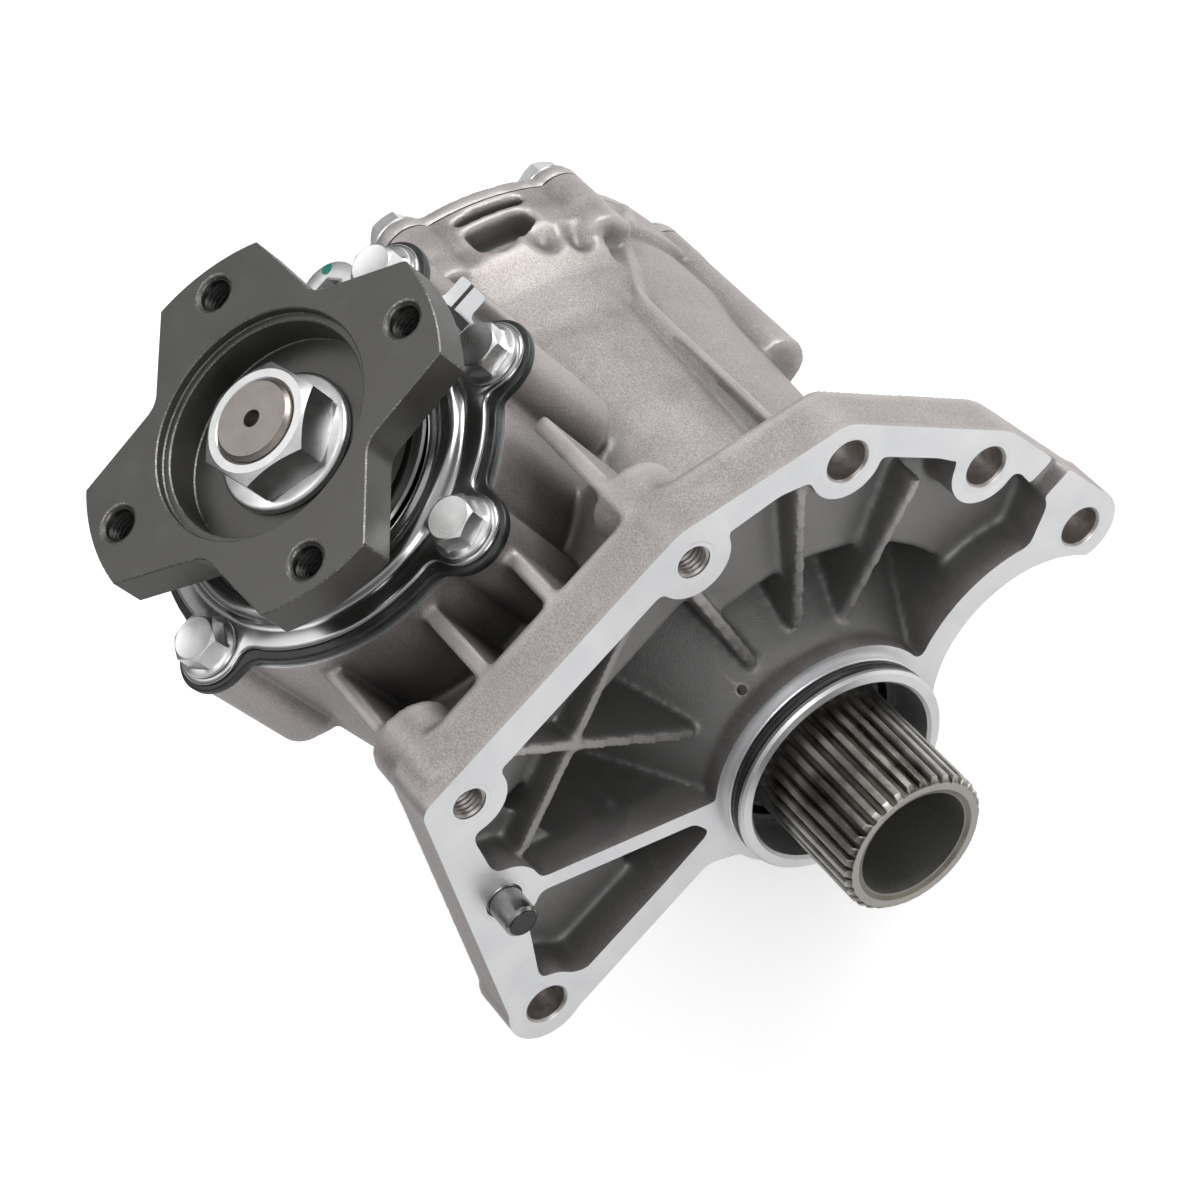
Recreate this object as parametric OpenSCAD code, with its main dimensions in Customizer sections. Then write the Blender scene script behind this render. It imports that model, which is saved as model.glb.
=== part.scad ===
// Transfer case (power transfer unit) for a transverse drivetrain.
// Frame: +X is the hollow input shaft, out of the transmission mounting face at x = 0.
// +Z is the output pinion, out to its companion flange. The origin is the centre of the spigot.

/* [Mounting plate] */
// Thickness of the mounting plate
plate_t = 17.6; // [14:0.2:24]
// Depth of the pockets cast into the mounting face
pocket_depth = 13.4; // [8:0.2:18]
// Radius of the cast boss round each plate screw
screw_boss_r = 12.2; // [11:0.1:13]
// Diameter of the four clearance holes in the plate
through_hole_d = 12; // [10:0.1:13]
// Tapping diameter of the two threaded plate holes
tapped_hole_d = 8.5; // [6:0.1:10]
// Diameter of the locating dowel
dowel_d = 10; // [8:0.1:12]
// Height of the dowel above the mounting face
dowel_proud = 10; // [6:0.5:16]

/* [Spigot] */
// Outer radius of the spigot that pilots in the transmission
spigot_r = 33.6; // [32.5:0.1:34.5]
// Height of the spigot above the mounting face
spigot_h = 8; // [7:0.5:12]
// Bore radius of the spigot, which also holds the input seal
spigot_bore_r = 29.4; // [28:0.1:30]
// Section diameter of the spigot O-ring
oring_d = 3.2; // [2.6:0.1:3.4]

/* [Gear case] */
// Outer radius of the ring gear case at its mounting plate end
case_r_front = 66; // [65:0.5:70]
// Outer radius of the ring gear case at its flared end
case_r_rear = 71.5; // [70:0.5:75]
// Wall of the cast case
case_wall = 4.6; // [3.6:0.1:5.2]
// Distance from the mounting face to the side cover joint
case_len = 182; // [178:1:188]
// Radius of the side cover flange
cover_flange_r = 77; // [76:0.5:80]
// Thickness of the side cover flange
cover_t = 6; // [5:0.5:10]
// Number of side cover bolts
cover_bolt_n = 9; // [6:1:12]
// Radius of the side cover bolt circle
cover_bolt_pcr = 71.5; // [71:0.5:74]
// Shank diameter of the cover and retainer bolts
bolt_d = 8; // [6:0.5:8]

/* [Pinion housing] */
// Distance of the pinion axis behind the mounting face
pinion_x = 102.4; // [101:0.2:108]
// Offset of the pinion axis below the input axis, towards -Y
pinion_offset = 32; // [31:0.2:33]
// Outer radius of the cast pinion tube
tube_r = 57; // [54:0.5:58]
// Height of the retainer joint above the input axis
retainer_z = 116.4; // [115.5:0.1:117]
// Radius of the retainer base
retainer_r = 56; // [55:0.5:60]
// Radius of the retainer bolt circle
retainer_pcr = 57.4; // [57:0.1:59]
// Thickness of the retainer gasket
gasket_t = 3; // [1:0.1:3.5]
// Sheet thickness of the retainer
retainer_t = 1.6; // [1.2:0.1:2.5]

/* [Input shaft] */
// Distance of the shaft end in front of the mounting face
shaft_end = 42.3; // [36:0.1:50]
// Tip radius of the shaft splines
spline_r = 22.5; // [21.6:0.1:22.8]
// Depth of the shaft splines
spline_depth = 1.7; // [1:0.1:2]
// Number of splines
spline_n = 34; // [24:1:40]
// Bore radius of the hollow shaft
shaft_bore_r = 17; // [14:0.1:18]
// Journal radius under the taper bearings
journal_r = 24; // [23.5:0.1:24.5]

/* [Hypoid gears] */
// Teeth of the ring gear
ring_teeth = 47; // [35:1:50]
// Teeth of the pinion
pinion_teeth = 19; // [12:1:22]
// Clearance between the ring gear and the case round it
ring_clearance = 1.4; // [1:0.1:3]
// Outer tip radius of the pinion
pinion_tip_r = 23.6; // [21:0.1:23.8]
// Depth of the gear teeth
tooth_depth = 4.6; // [3:0.1:5]

/* [Output flange] */
// Height of the companion flange face above the input axis
flange_z = 149; // [147:0.2:151]
// Thickness of the companion flange
flange_t = 11.7; // [9:0.1:13]
// Radius over the companion flange lobes
flange_r = 58.2; // [56:0.1:62]
// Radius of the companion flange bolt circle
flange_pcr = 49; // [46:0.1:50]
// Tapping diameter of the companion flange holes
flange_tap_d = 8.5; // [6:0.1:10]
// Radius of the pilot recess
pilot_r = 34; // [33:0.1:36]
// Depth of the pilot recess
pilot_depth = 3; // [2:0.2:5]
// Radius of the companion flange hub under the oil seal
hub_r = 27; // [25:0.1:27.5]
// Thread radius of the pinion end
thread_r = 12; // [10:0.5:12]
// Width across the flats of the pinion nut
nut_af = 32; // [30:0.5:36]
// Thickness of the pinion nut
nut_t = 12.4; // [10:0.2:13]

/* [Hidden] */
$fn = 72;
// Running clearance between turning and fixed pieces, and the same for a slip fit
running = 0.05;
slip = 0.02;
// Small overlap that lets a cut run out of a face
cut = 1;

// Plate screws as [y, z]: clearance holes, then tapped holes, then the dowel
through_holes = [[65, 80.3], [88.3, 34.7], [94, -16.3], [-102.2, 17.8]];
tapped_holes = [[-65.3, 101.3], [19.8, 99.5]];
dowel_at = [-82.8, 63.3];
// Pressed-in end of the dowel: its diameter, a step larger than the locating end, and its hole's depth
dowel_shank_d = dowel_d + 0.6;
dowel_depth = 14;
chamfer_t = 0.8;
tapped_depth = plate_t + 8;
// Relief that clears the transmission, as [y, z] and a radius, with the rim left round it
relief_at = [57.5, -41];
relief_r = 34.5;
relief_rim = 9;
pocket_boss_r = screw_boss_r - 0.8;
pocket_rib_t = 3.2;
// Spigot tower inside the pockets and the cone that it grows into
tower_r = spigot_r + 3.2;
land_r = spigot_r + 2;
bell_x = 44;
bell_r = case_r_front - case_wall;
// Ring gear case along the input axis, all as distances behind the mounting face
flare_x = 129;
rim_x = case_len - 14;
rim_r = 74;
seat_front = 22;
bearing_w = 18;
bearing_od = 39.5;
case_bolt_tower_r = 9.5;
// Web between the pinion tube and the plate: floor, and four ribs that rise to the plate's height
web_z = 80;
web_rib_y = [-71, -40.2, -14.2, 15.6];
web_rib_t = 4.6;
web_rib_z = 112;
cover_phase = -8;
cover_bolt_angles = [for (i = [0 : cover_bolt_n - 1]) cover_phase + i * 360 / cover_bolt_n];
// A shoulder beside the pinion tube, between these angles, carries two of the bolts further out
shoulder_r = 80.2;
cover_bolt_lift = shoulder_r - cover_bolt_pcr - 5.5;
shoulder_span = [34, 74];
function cover_bolt_at(i) = cover_bolt_pcr + (i == 1 || i == 2 ? cover_bolt_lift : 0);
seal_w = 9;
cavity_x = seat_front + bearing_w + 3;
cavity_r = case_r_front - case_wall;
ring_r = cavity_r - ring_clearance;
cavity_r_rear = cover_bolt_pcr - case_bolt_tower_r - 0.5;
side_seat = case_len - bearing_w;
hub_end = case_len + cover_t + 10;
sealant_t = 0.6;
// Pinion stack along the pinion axis, as heights above the input axis
pinion_at = [-pinion_x, -pinion_offset, 0];
head_z = 29;
head_back = 50.5;
head_seat = 62;
head_w = 19;
head_od = 33.5;
head_journal = 18;
tail_w = 17;
tail_od = 30.5;
tail_journal = 15;
spline_neck_r = 12.6;
tail_seat = 90;
hub_z = tail_seat + tail_w;
shim_t = 0.8;
hub_floor_z = 135.1;
core_top = 92;
washer_t = 3;
washer_r = 20.6;
nut_z = hub_floor_z + washer_t;
pinion_end = nut_z + nut_t + 1.5;
pinion_seal_od = 36;
bead_r = 3.6;
retainer_top = retainer_z + gasket_t;
seal_z = retainer_top - 9;
retainer_angles = [17.4, 69.5, 121, 175, 230, 285];
ear_r = 10.4;
// Ring gear stack along the input axis
gear_flange_x = 50;
gear_flange_t = 8;
gear_flange_r = 50;
gear_back = gear_flange_x + gear_flange_t;
gear_bolt_n = 10;
gear_bolt_pcr = 40;
ring_inner_r = 41;
ring_bore_r = 30;
ring_tip_x = pinion_x - pinion_tip_r - 2;
ring_slope = 0.425;
ring_skew = 28;
pinion_skew = 32;
pipe_r = journal_r + 2;
carrier_sleeve = 22;
// Bolt heads and the clearance holes under them
head_af = bolt_d * 1.6;
bolt_flange_r = bolt_d * 1.12;
bolt_head_h = bolt_d * 0.95;
bolt_flange_t = 1.4;
bolt_reach = 14;
bolt_hole_d = bolt_d + 0.5;
// Plugs
plug_r = 10.6;
plug_thread_r = 8;
plug_head_t = 4;
plug_socket_r = 5;
plug_washer_t = 1.4;
filler_at = [-pinion_x - 49.2, tube_r - pinion_offset - 23];
filler_z = retainer_z - 7.4;
drain_at = [-flare_x + 9, -38];
drain_y = -case_r_rear - 0.5;
breather_at = [-pinion_x - tube_r - 4, -pinion_offset - 20, 96];
flange_angle = 72.4;
// Locating pad beside the retainer, as [x, y] of its corner and its size
pad_at = [-pinion_x - 12.2, tube_r - pinion_offset - 0.7];
pad_size = [12.6, 7.7];

castaluminium = [0.70, 0.67, 0.65];
machined = [0.84, 0.84, 0.83];
zinc = [0.80, 0.81, 0.82];
steel = [0.55, 0.55, 0.56];
blackoxide = [0.24, 0.24, 0.24];
rubber = [0.08, 0.08, 0.08];

// Turns a shape that stands along Z so that it runs along +X from x0
module along_x(x0 = 0) {
    translate([x0, 0, 0]) rotate([0, 90, 0]) children();
}

// Extrudes a y-z outline from x0 towards +X
module plate_layer(x0, t) {
    translate([x0, 0, 0]) rotate([90, 0, 90]) linear_extrude(t) children();
}

// Points of a corner arc, for a corner p with neighbours a and b and a radius r
function unit(v) = v / norm(v);
function corner(a, p, b, r) =
    let (u = unit(a - p), v = unit(b - p), half = acos(max(-1, min(1, u * v))) / 2)
    let (reach = r / tan(half), centre = p + unit(u + v) * r / sin(half))
    let (s = p + u * reach - centre, e = p + v * reach - centre)
    let (a0 = atan2(s[1], s[0]), turn = atan2(s[0] * e[1] - s[1] * e[0], s * e))
    [for (i = [0 : 8]) centre + r * [cos(a0 + turn * i / 8), sin(a0 + turn * i / 8)]];
// A closed outline from corners given as [u, v, radius]
function rounded(c) = [for (i = [0 : len(c) - 1])
    let (n = len(c), a = c[(i + n - 1) % n], p = c[i], b = c[(i + 1) % n])
    each (p[2] > 0 ? corner([a[0], a[1]], [p[0], p[1]], [b[0], b[1]], p[2]) : [[p[0], p[1]]])];

module ring(r_out, r_in, h) {
    difference() {
        cylinder(r = r_out, h = h);
        translate([0, 0, -cut]) cylinder(r = r_in, h = h + 2 * cut);
    }
}

module outline() {
    difference() {
        union() {
            polygon(rounded([[-74.5, 112.6, 5], [23, 111.3, 12], [72.5, 90.5, 10], [100, 37, 20],
                [105.8, -16, 3], [86, -26, 0], [60, -20, 0], [20, -20, 0], [-20, -20, 0], [-44, 6.5, 6],
                [-100, 6.3, 0], [-113, 21, 3]]));
            circle(r = tower_r);
            for (p = [through_holes[2], through_holes[3]]) translate(p) circle(r = screw_boss_r);
        }
        translate(relief_at) circle(r = relief_r);
    }
}

module big_pocket() {
    difference() {
        polygon(rounded([[-26, 21.5, 2], [-71.5, 57.5, 3], [-77.5, 76, 6], [-73, 90, 6],
            [-56, 101.2, 3], [22, 100.2, 3], [47, 91.5, 6], [70, 75, 3], [81.5, 53, 8],
            [93.5, 21, 5], [93.3, 3, 6], [82, -3.5, 4], [60, -6, 0], [30, 0, 0], [20, 20, 0]]));
        for (p = concat(through_holes, tapped_holes)) translate(p) circle(r = pocket_boss_r);
        translate(dowel_at) circle(r = pocket_boss_r);
        circle(r = tower_r);
        translate(relief_at) circle(r = relief_r + relief_rim);
    }
}

module small_pocket() {
    difference() {
        polygon(rounded([[-74.6, 53.6, 3], [-37, 23.5, 3], [-36, 16, 2], [-56, 15.4, 20],
            [-88, 15.6, 4], [-97, 28, 6], [-82, 54, 3]]));
        translate(through_holes[3]) circle(r = pocket_boss_r);
        translate(dowel_at) circle(r = pocket_boss_r);
        circle(r = tower_r);
    }
}

// A rib cast in the pockets: from a point on the rim to one on the tower, as [y, z]
module pocket_rib(a, b, depth_a, depth_b) {
    run = norm(b - a);
    translate([0, a[0], a[1]]) rotate([atan2(b[1] - a[1], b[0] - a[0]), 0, 0])
        translate([0, 0, -pocket_rib_t / 2]) linear_extrude(pocket_rib_t)
            polygon([[-depth_a, 0], [-depth_b, run], [-bell_x, run], [-bell_x, 0]]);
}

module pocket_ribs() {
    pocket_rib([-48.6, 101], [-18, 38], 1.5, 9);
    pocket_rib([-70, 65], [-2, 96], 5, 5);
    pocket_rib([13.5, 88], [7, 40], 2, 9);
    pocket_rib([56, 90], [22, 36], 1.5, 9);
    pocket_rib([74, 50], [32, 24], 2, 9);
}

// Ears that carry one bolt each on the cover joint
module cover_outline(flange) {
    circle(r = flange);
    for (i = [0 : cover_bolt_n - 1])
        rotate(cover_bolt_angles[i]) translate([cover_bolt_at(i), 0]) circle(r = case_bolt_tower_r);
    intersection() {
        circle(r = shoulder_r);
        shoulder_sector();
    }
}

// Sector of the cover joint that the shoulder takes up
module shoulder_sector() {
    reach = shoulder_r * 1.2;
    a = shoulder_span;
    mid = (a[0] + a[1]) / 2;
    polygon([[0, 0], reach * [cos(a[0]), sin(a[0])], reach * [cos(mid), sin(mid)],
        reach * [cos(a[1]), sin(a[1])]]);
}

module at_cover_bolts() {
    for (i = [0 : cover_bolt_n - 1])
        rotate([cover_bolt_angles[i], 0, 0]) translate([0, cover_bolt_at(i), 0]) children();
}

module at_retainer_bolts(z) {
    translate(pinion_at + [0, 0, z])
        for (a = retainer_angles) rotate(a) translate([retainer_pcr, 0, 0]) children();
}

module retainer_outline(base, ear) {
    circle(r = base);
    for (a = retainer_angles) rotate(a) translate([retainer_pcr, 0]) circle(r = ear);
}

// Outer surface of the gear case as one turned solid
module gear_case_body() {
    along_x() rotate_extrude() polygon([[0, 0], [land_r, 0], [land_r, -2], [tower_r + 2, -plate_t],
        [case_r_front, -bell_x], [case_r_rear, -flare_x], [rim_r, -flare_x - 16], [rim_r, -case_len + 3],
        [0, -case_len + 3]]);
    plate_layer(-case_len, case_len - rim_x) cover_outline(cover_flange_r);
}

// Shoulder between the pinion tube and the cover joint
module shoulder() {
    intersection() {
        along_x() rotate_extrude() polygon([[0, -flare_x], [case_r_rear, -flare_x], [rim_r, -flare_x - 16],
            [shoulder_r - 0.4, -flare_x - 28], [shoulder_r - 0.4, -case_len + 3], [0, -case_len + 3]]);
        plate_layer(-case_len + 2, case_len - flare_x) shoulder_sector();
    }
}

// Two cast pockets between the ribs of the shoulder, as [distance from the cover joint, sideways]
module shoulder_pockets() {
    mid = (shoulder_span[0] + shoulder_span[1]) / 2;
    rotate([mid - 90, 0, 0]) translate([-case_len, 0, shoulder_r - 11]) linear_extrude(20) {
        polygon(rounded([[4, -12.5, 1], [2, -3, 2], [2, 10, 2], [3.5, 14.5, 1], [5.6, 12, 0.8],
            [6.2, -9, 1]]));
        polygon(rounded([[9.8, -11, 1], [9, 9, 2], [15, 12, 3], [24, -5, 3], [19, -11, 2]]));
    }
}

module case_outside() {
    plate_layer(-plate_t, plate_t) outline();
    gear_case_body();
    // Skirt that carries the plate back to the gear case
    intersection() {
        plate_layer(-bell_x, bell_x - plate_t + cut) outline();
        along_x(-bell_x) cylinder(r = case_r_front, h = bell_x);
    }
    // Spigot
    along_x(-cut) cylinder(r = spigot_r, h = spigot_h + cut);
    // Pinion tube with its tapered foot and its bolted head
    translate(pinion_at + [0, 0, -12]) cylinder(r1 = 36, r2 = tube_r, h = 42);
    translate(pinion_at + [0, 0, 30]) cylinder(r = tube_r, h = retainer_z - 30);
    translate(pinion_at + [0, 0, retainer_z - 12]) cylinder(r = retainer_r, h = 12);
    at_retainer_bolts(retainer_z - 40) cylinder(r = ear_r, h = 40);
    at_retainer_bolts(retainer_z - 52) cylinder(r1 = 2, r2 = ear_r, h = 12);
    // Web between the tube and the plate, with four ribs
    web_x0 = -pinion_x + 40;
    web_run = -web_x0 - plate_t + cut;
    translate([web_x0, web_rib_y[0], 14])
        cube([web_run, web_rib_y[3] + web_rib_t - web_rib_y[0], web_z - 14]);
    for (y = web_rib_y) translate([web_x0, y, 40]) cube([web_run, web_rib_t, web_rib_z - 40]);
    // Blind bosses behind the tapped holes
    for (p = tapped_holes) plate_layer(-tapped_depth - 4, tapped_depth) translate(p) circle(r = screw_boss_r);
    // Towers for the cover bolts, the lowest of them long
    for (i = [0 : cover_bolt_n - 1])
        rotate([cover_bolt_angles[i], 0, 0]) translate([0, cover_bolt_at(i), 0])
            along_x(-case_len + 3) cylinder(r = case_bolt_tower_r - 0.4, h = i == 0 ? 63 : 23);
    shoulder();
    // Parting ridge over the gear case
    rotate([36, 0, 0]) translate([-rim_x, 0, -1.6]) cube([rim_x - plate_t, case_r_rear + 1.2, 3.2]);
    // Filler, drain and breather bosses
    translate([filler_at[0], filler_at[1], 50]) cylinder(r = plug_r + 1, h = filler_z - 50);
    translate([drain_at[0], drain_y, drain_at[1]]) rotate([-90, 0, 0]) cylinder(r = plug_r + 3, h = 40);
    translate([breather_at[0], breather_at[1], breather_at[2]]) rotate([0, 90, 0]) cylinder(r = 8, h = 20);
    // Machined locating pad beside the retainer
    translate([pad_at[0], pad_at[1], retainer_z - 20]) cube([pad_size[0], pad_size[1], 20]);
}

module bell_hollow() {
    // Shallow pockets all over the face
    plate_layer(-pocket_depth, pocket_depth + cut) {
        big_pocket();
        small_pocket();
    }
    // Deep part of the big pocket, inside the bell
    intersection() {
        plate_layer(-bell_x, bell_x) {
            big_pocket();
            small_pocket();
        }
        union() {
            along_x(-bell_x) cylinder(r = bell_r, h = bell_x);
            translate([-bell_x, -64, 40]) cube([bell_x, 76, 35]);
        }
    }
}

module case_inside() {
    // Gear cavity
    along_x() rotate_extrude() polygon([[0, -cavity_x], [48, -cavity_x], [cavity_r, -cavity_x - 12],
        [case_r_rear - case_wall, -flare_x], [cavity_r_rear, -flare_x - 12],
        [cavity_r_rear, -case_len - cut], [0, -case_len - cut]]);
}

// Core that lightens the pinion tube round the bearing carrier, with a rib below each retainer bolt
module tube_core() {
    translate(pinion_at) difference() {
        translate([0, 0, 40]) ring(tube_r - case_wall - 1, head_od + 4.5, core_top - 40);
        for (a = retainer_angles) rotate(a) translate([0, -web_rib_t / 2, 30]) cube([tube_r, web_rib_t, 70]);
    }
}

module main_case() {
    color(castaluminium) difference() {
        union() {
            difference() {
                case_outside();
                difference() {
                    bell_hollow();
                    // Cone that grows from the spigot tower to the gear case
                    along_x() rotate_extrude() polygon([[0, 1], [tower_r - 1, 1], [tower_r, -6],
                        [bell_r, -bell_x + 1], [bell_r, -bell_x - 1], [0, -bell_x - 1]]);
                    pocket_ribs();
                }
                case_inside();
                tube_core();
            }
            // Boss of the pinion head bearing, which reaches into the gear cavity
            translate(pinion_at + [0, 0, head_seat - 4]) cylinder(r = head_od + 4.5, h = 22);
            // Boss of the input bearing
            along_x(-cavity_x) cylinder(r = bearing_od + 4, h = 20);
        }
        shoulder_pockets();
        // Sweep of the ring gear
        along_x() rotate_extrude() polygon([[0, -cavity_x], [46, -cavity_x], [cavity_r, -cavity_x - 10],
            [cavity_r, -pinion_x + 20], [46, -pinion_x + 12], [0, -pinion_x + 12]]);
        // Input seal, bearing seat and passage
        along_x(-cut - plate_t - cut) cylinder(r = spigot_bore_r, h = plate_t + spigot_h + 4 * cut);
        along_x(-seat_front - cut) cylinder(r = journal_r + 2, h = seat_front);
        along_x(-cavity_x - cut) cylinder(r = bearing_od, h = cavity_x - seat_front + cut);
        // Groove of the spigot O-ring
        along_x(spigot_h / 2 - oring_d * 0.6)
            ring(spigot_r + cut, spigot_r - oring_d - 2 * slip, oring_d * 1.2);
        // Pinion bores from the head bearing to the retainer
        translate(pinion_at) {
            translate([0, 0, head_z - 8]) cylinder(r = head_od - 3, h = 50);
            translate([0, 0, head_seat - 6]) cylinder(r = head_od, h = head_w + 6 + shim_t);
            translate([0, 0, head_seat]) cylinder(r = tail_od - 3, h = 40);
            translate([0, 0, tail_seat]) cylinder(r = tail_od, h = 40);
            translate([0, 0, hub_z + 0.4]) cylinder(r = pinion_seal_od + retainer_t + running, h = 40);
        }
        // Screw holes of the plate
        for (p = through_holes) {
            plate_layer(-plate_t - 3, plate_t + 6) translate(p) circle(d = through_hole_d);
            translate([-chamfer_t, p[0], p[1]]) rotate([0, 90, 0])
                cylinder(d1 = through_hole_d, d2 = through_hole_d + 4 * chamfer_t, h = 2 * chamfer_t);
        }
        for (p = tapped_holes) {
            plate_layer(-tapped_depth, tapped_depth + cut) translate(p) circle(d = tapped_hole_d);
            translate([-chamfer_t, p[0], p[1]]) rotate([0, 90, 0])
                cylinder(d1 = tapped_hole_d + 1, d2 = tapped_hole_d + 1 + 4 * chamfer_t, h = 2 * chamfer_t);
        }
        plate_layer(-dowel_depth, dowel_depth + cut) translate(dowel_at) circle(d = dowel_shank_d + 2 * slip);
        // Oil drain passage beside the spigot and the drain notch in the plate edge
        translate([-20, 1, 48.7]) rotate([0, 90, 0]) cylinder(d = 3.4, h = 20, $fn = 24);
        translate([-6, 91, 5.8]) cube([6 + cut, 20, 9.2]);
        // Bolt holes
        at_cover_bolts() along_x(-case_len - cut) cylinder(d = bolt_d + 2 * slip, h = bolt_reach + 4);
        at_retainer_bolts(retainer_z - bolt_reach - 3)
            cylinder(d = bolt_d + 2 * slip, h = bolt_reach + 3 + cut);
        // Spot face and thread of the filler, threads of the drain and the breather
        translate([filler_at[0], filler_at[1], filler_z]) cylinder(r = plug_r + 0.4, h = 12);
        translate([filler_at[0], filler_at[1], 60]) cylinder(r = plug_thread_r + slip, h = 80);
        translate([drain_at[0], drain_y - cut, drain_at[1]]) rotate([-90, 0, 0])
            cylinder(r = plug_thread_r + slip, h = 30);
        translate(breather_at - [cut, 0, 0]) rotate([0, 90, 0]) cylinder(r = 3 + slip, h = 34);
        // Groove across the locating pad
        translate([pad_at[0] + 9, pad_at[1] - cut, retainer_z - 1.5]) cube([1.6, pad_size[1] + 2 * cut, 2.5]);
    }
}

module side_cover() {
    back = -case_len - cover_t;
    color(castaluminium) difference() {
        union() {
            plate_layer(back, cover_t - sealant_t) cover_outline(cover_flange_r);
            along_x(-case_len - 2) cylinder(r = bearing_od + 5, h = bearing_w + 2);
            along_x(-hub_end) cylinder(r1 = 40, r2 = 47, h = hub_end + back + cut);
            // Radial ribs on the outside
            for (a = [0 : 40 : 320]) rotate([a + 12, 0, 0]) translate([back - 8, 30, -2])
                cube([8 + cut, 40, 4]);
        }
        // Bearing seat, shoulder and half-shaft seal
        along_x(-case_len - shim_t) cylinder(r = bearing_od, h = bearing_w + 4);
        along_x(-hub_end - cut) cylinder(r = 32, h = seal_w + cut);
        along_x(-hub_end) cylinder(r = 28, h = 60);
        // Hollow side of the dished flange
        along_x(-case_len - cover_t + 4) difference() {
            cylinder(r = cavity_r_rear - 1, h = cover_t);
            cylinder(r = bearing_od + 5, h = cover_t);
        }
        at_cover_bolts() along_x(back - cut) cylinder(d = bolt_hole_d, h = cover_t + 2 * cut);
    }
}

module cover_sealant() {
    color(rubber) difference() {
        plate_layer(-case_len - sealant_t, sealant_t) cover_outline(cover_flange_r);
        along_x(-case_len - 2) cylinder(r = cavity_r_rear, h = 4);
        at_cover_bolts() along_x(-case_len - 2) cylinder(d = bolt_hole_d, h = 4);
    }
}

// A hexagon flange bolt that points along -Z, with its seat at z = 0
module flange_bolt(grip) {
    cylinder(r = bolt_flange_r, h = bolt_flange_t);
    cylinder(d = head_af / cos(30), h = bolt_head_h, $fn = 6);
    translate([0, 0, -grip - bolt_reach]) cylinder(d = bolt_d, h = grip + bolt_reach + cut);
}

module cover_bolts() {
    color(zinc) at_cover_bolts() translate([-case_len - cover_t, 0, 0]) rotate([0, -90, 0])
        flange_bolt(cover_t);
}

module transaxle_dowel() {
    color(steel) translate([0, dowel_at[0], dowel_at[1]]) rotate([0, 90, 0]) {
        translate([0, 0, 1 - dowel_depth]) cylinder(d = dowel_shank_d, h = dowel_depth - 1);
        cylinder(d = dowel_d, h = dowel_proud - 1);
        translate([0, 0, dowel_proud - 1]) cylinder(d1 = dowel_d, d2 = dowel_d - 2, h = 1);
    }
}

module spigot_o_ring() {
    color(rubber) along_x(spigot_h / 2)
        rotate_extrude() translate([spigot_r - oring_d / 2 - slip, 0]) circle(d = oring_d, $fn = 24);
}

// Lip seal with its case, garter lip and bore, standing on z = 0
module oil_seal(r_out, r_in, w) {
    rotate_extrude() polygon([[r_out, 0], [r_out, w], [r_out - 2.4, w], [r_out - 2.4, 2.2],
        [r_in + 2.6, 2.2], [r_in + 2.6, w - 1.5], [r_in + 0.8, w - 1.5], [r_in, w - 3], [r_in + 1.2, 0]]);
}

module input_seal() {
    color(rubber) along_x(-plate_t - cut + 0.2) oil_seal(spigot_bore_r, spline_r + running, seal_w);
}

// Taper roller bearing: race radii at height z for a mean radius, a roller radius and half the width
taper = 14;
function race_in(rm, rr, w, z) = rm - rr / cos(taper) - slip + (z - w / 2) * tan(taper);
function race_out(rm, rr, w, z) = rm + rr / cos(taper) + running + (z - w / 2) * tan(taper);
roller_n = 16;

module bearing_cone(bore, rm, rr, w) {
    rib_z = w / 2 + (w - 7) / 2 * cos(taper) + rr * sin(taper) + 0.2;
    rotate_extrude() polygon([[bore, 0], [race_in(rm, rr, w, 0), 0], [race_in(rm, rr, w, rib_z), rib_z],
        [race_in(rm, rr, w, rib_z) + 1.8, rib_z], [race_in(rm, rr, w, rib_z) + 1.8, w], [bore, w]]);
}

module bearing_cup(od, rm, rr, w) {
    rotate_extrude() polygon([[race_out(rm, rr, w, 2), 2], [od, 2], [od, w - 1],
        [race_out(rm, rr, w, w - 1), w - 1]]);
}

module bearing_rollers(rm, rr, w) {
    for (i = [0 : roller_n - 1]) rotate(i * 360 / roller_n) translate([rm, 0, w / 2])
        rotate([0, taper, 0]) cylinder(r = rr, h = w - 7, center = true);
}

input_rm = 30.6;
input_rr = 3.3;
head_rm = 25.2;
head_rr = 3.3;
tail_rm = 22.2;
tail_rr = 3.2;

// Places of the four bearings, each with its wide end where the thrust comes from
module at_input_bearing() {
    along_x(-seat_front) rotate([180, 0, 0]) children();
}
module at_side_bearing() {
    along_x(-case_len) children();
}
module at_head_bearing() {
    translate(pinion_at + [0, 0, head_seat + head_w]) rotate([180, 0, 0]) children();
}
module at_tail_bearing() {
    translate(pinion_at + [0, 0, tail_seat]) children();
}

module input_bearing_cup() {
    color(steel) at_input_bearing() bearing_cup(bearing_od, input_rm, input_rr, bearing_w);
}
module input_bearing_cone() {
    color(steel) at_input_bearing() bearing_cone(journal_r, input_rm, input_rr, bearing_w);
}
module input_bearing_rollers() {
    color(zinc) at_input_bearing() bearing_rollers(input_rm, input_rr, bearing_w);
}
module side_bearing_cup() {
    color(steel) at_side_bearing() bearing_cup(bearing_od, input_rm, input_rr, bearing_w);
}
module side_bearing_cone() {
    color(steel) at_side_bearing() bearing_cone(journal_r, input_rm, input_rr, bearing_w);
}
module side_bearing_rollers() {
    color(zinc) at_side_bearing() bearing_rollers(input_rm, input_rr, bearing_w);
}
module pinion_head_cup() {
    color(steel) at_head_bearing() bearing_cup(head_od, head_rm, head_rr, head_w);
}
module pinion_head_cone() {
    color(steel) at_head_bearing() bearing_cone(head_journal, head_rm, head_rr, head_w);
}
module pinion_head_rollers() {
    color(zinc) at_head_bearing() bearing_rollers(head_rm, head_rr, head_w);
}
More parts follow.
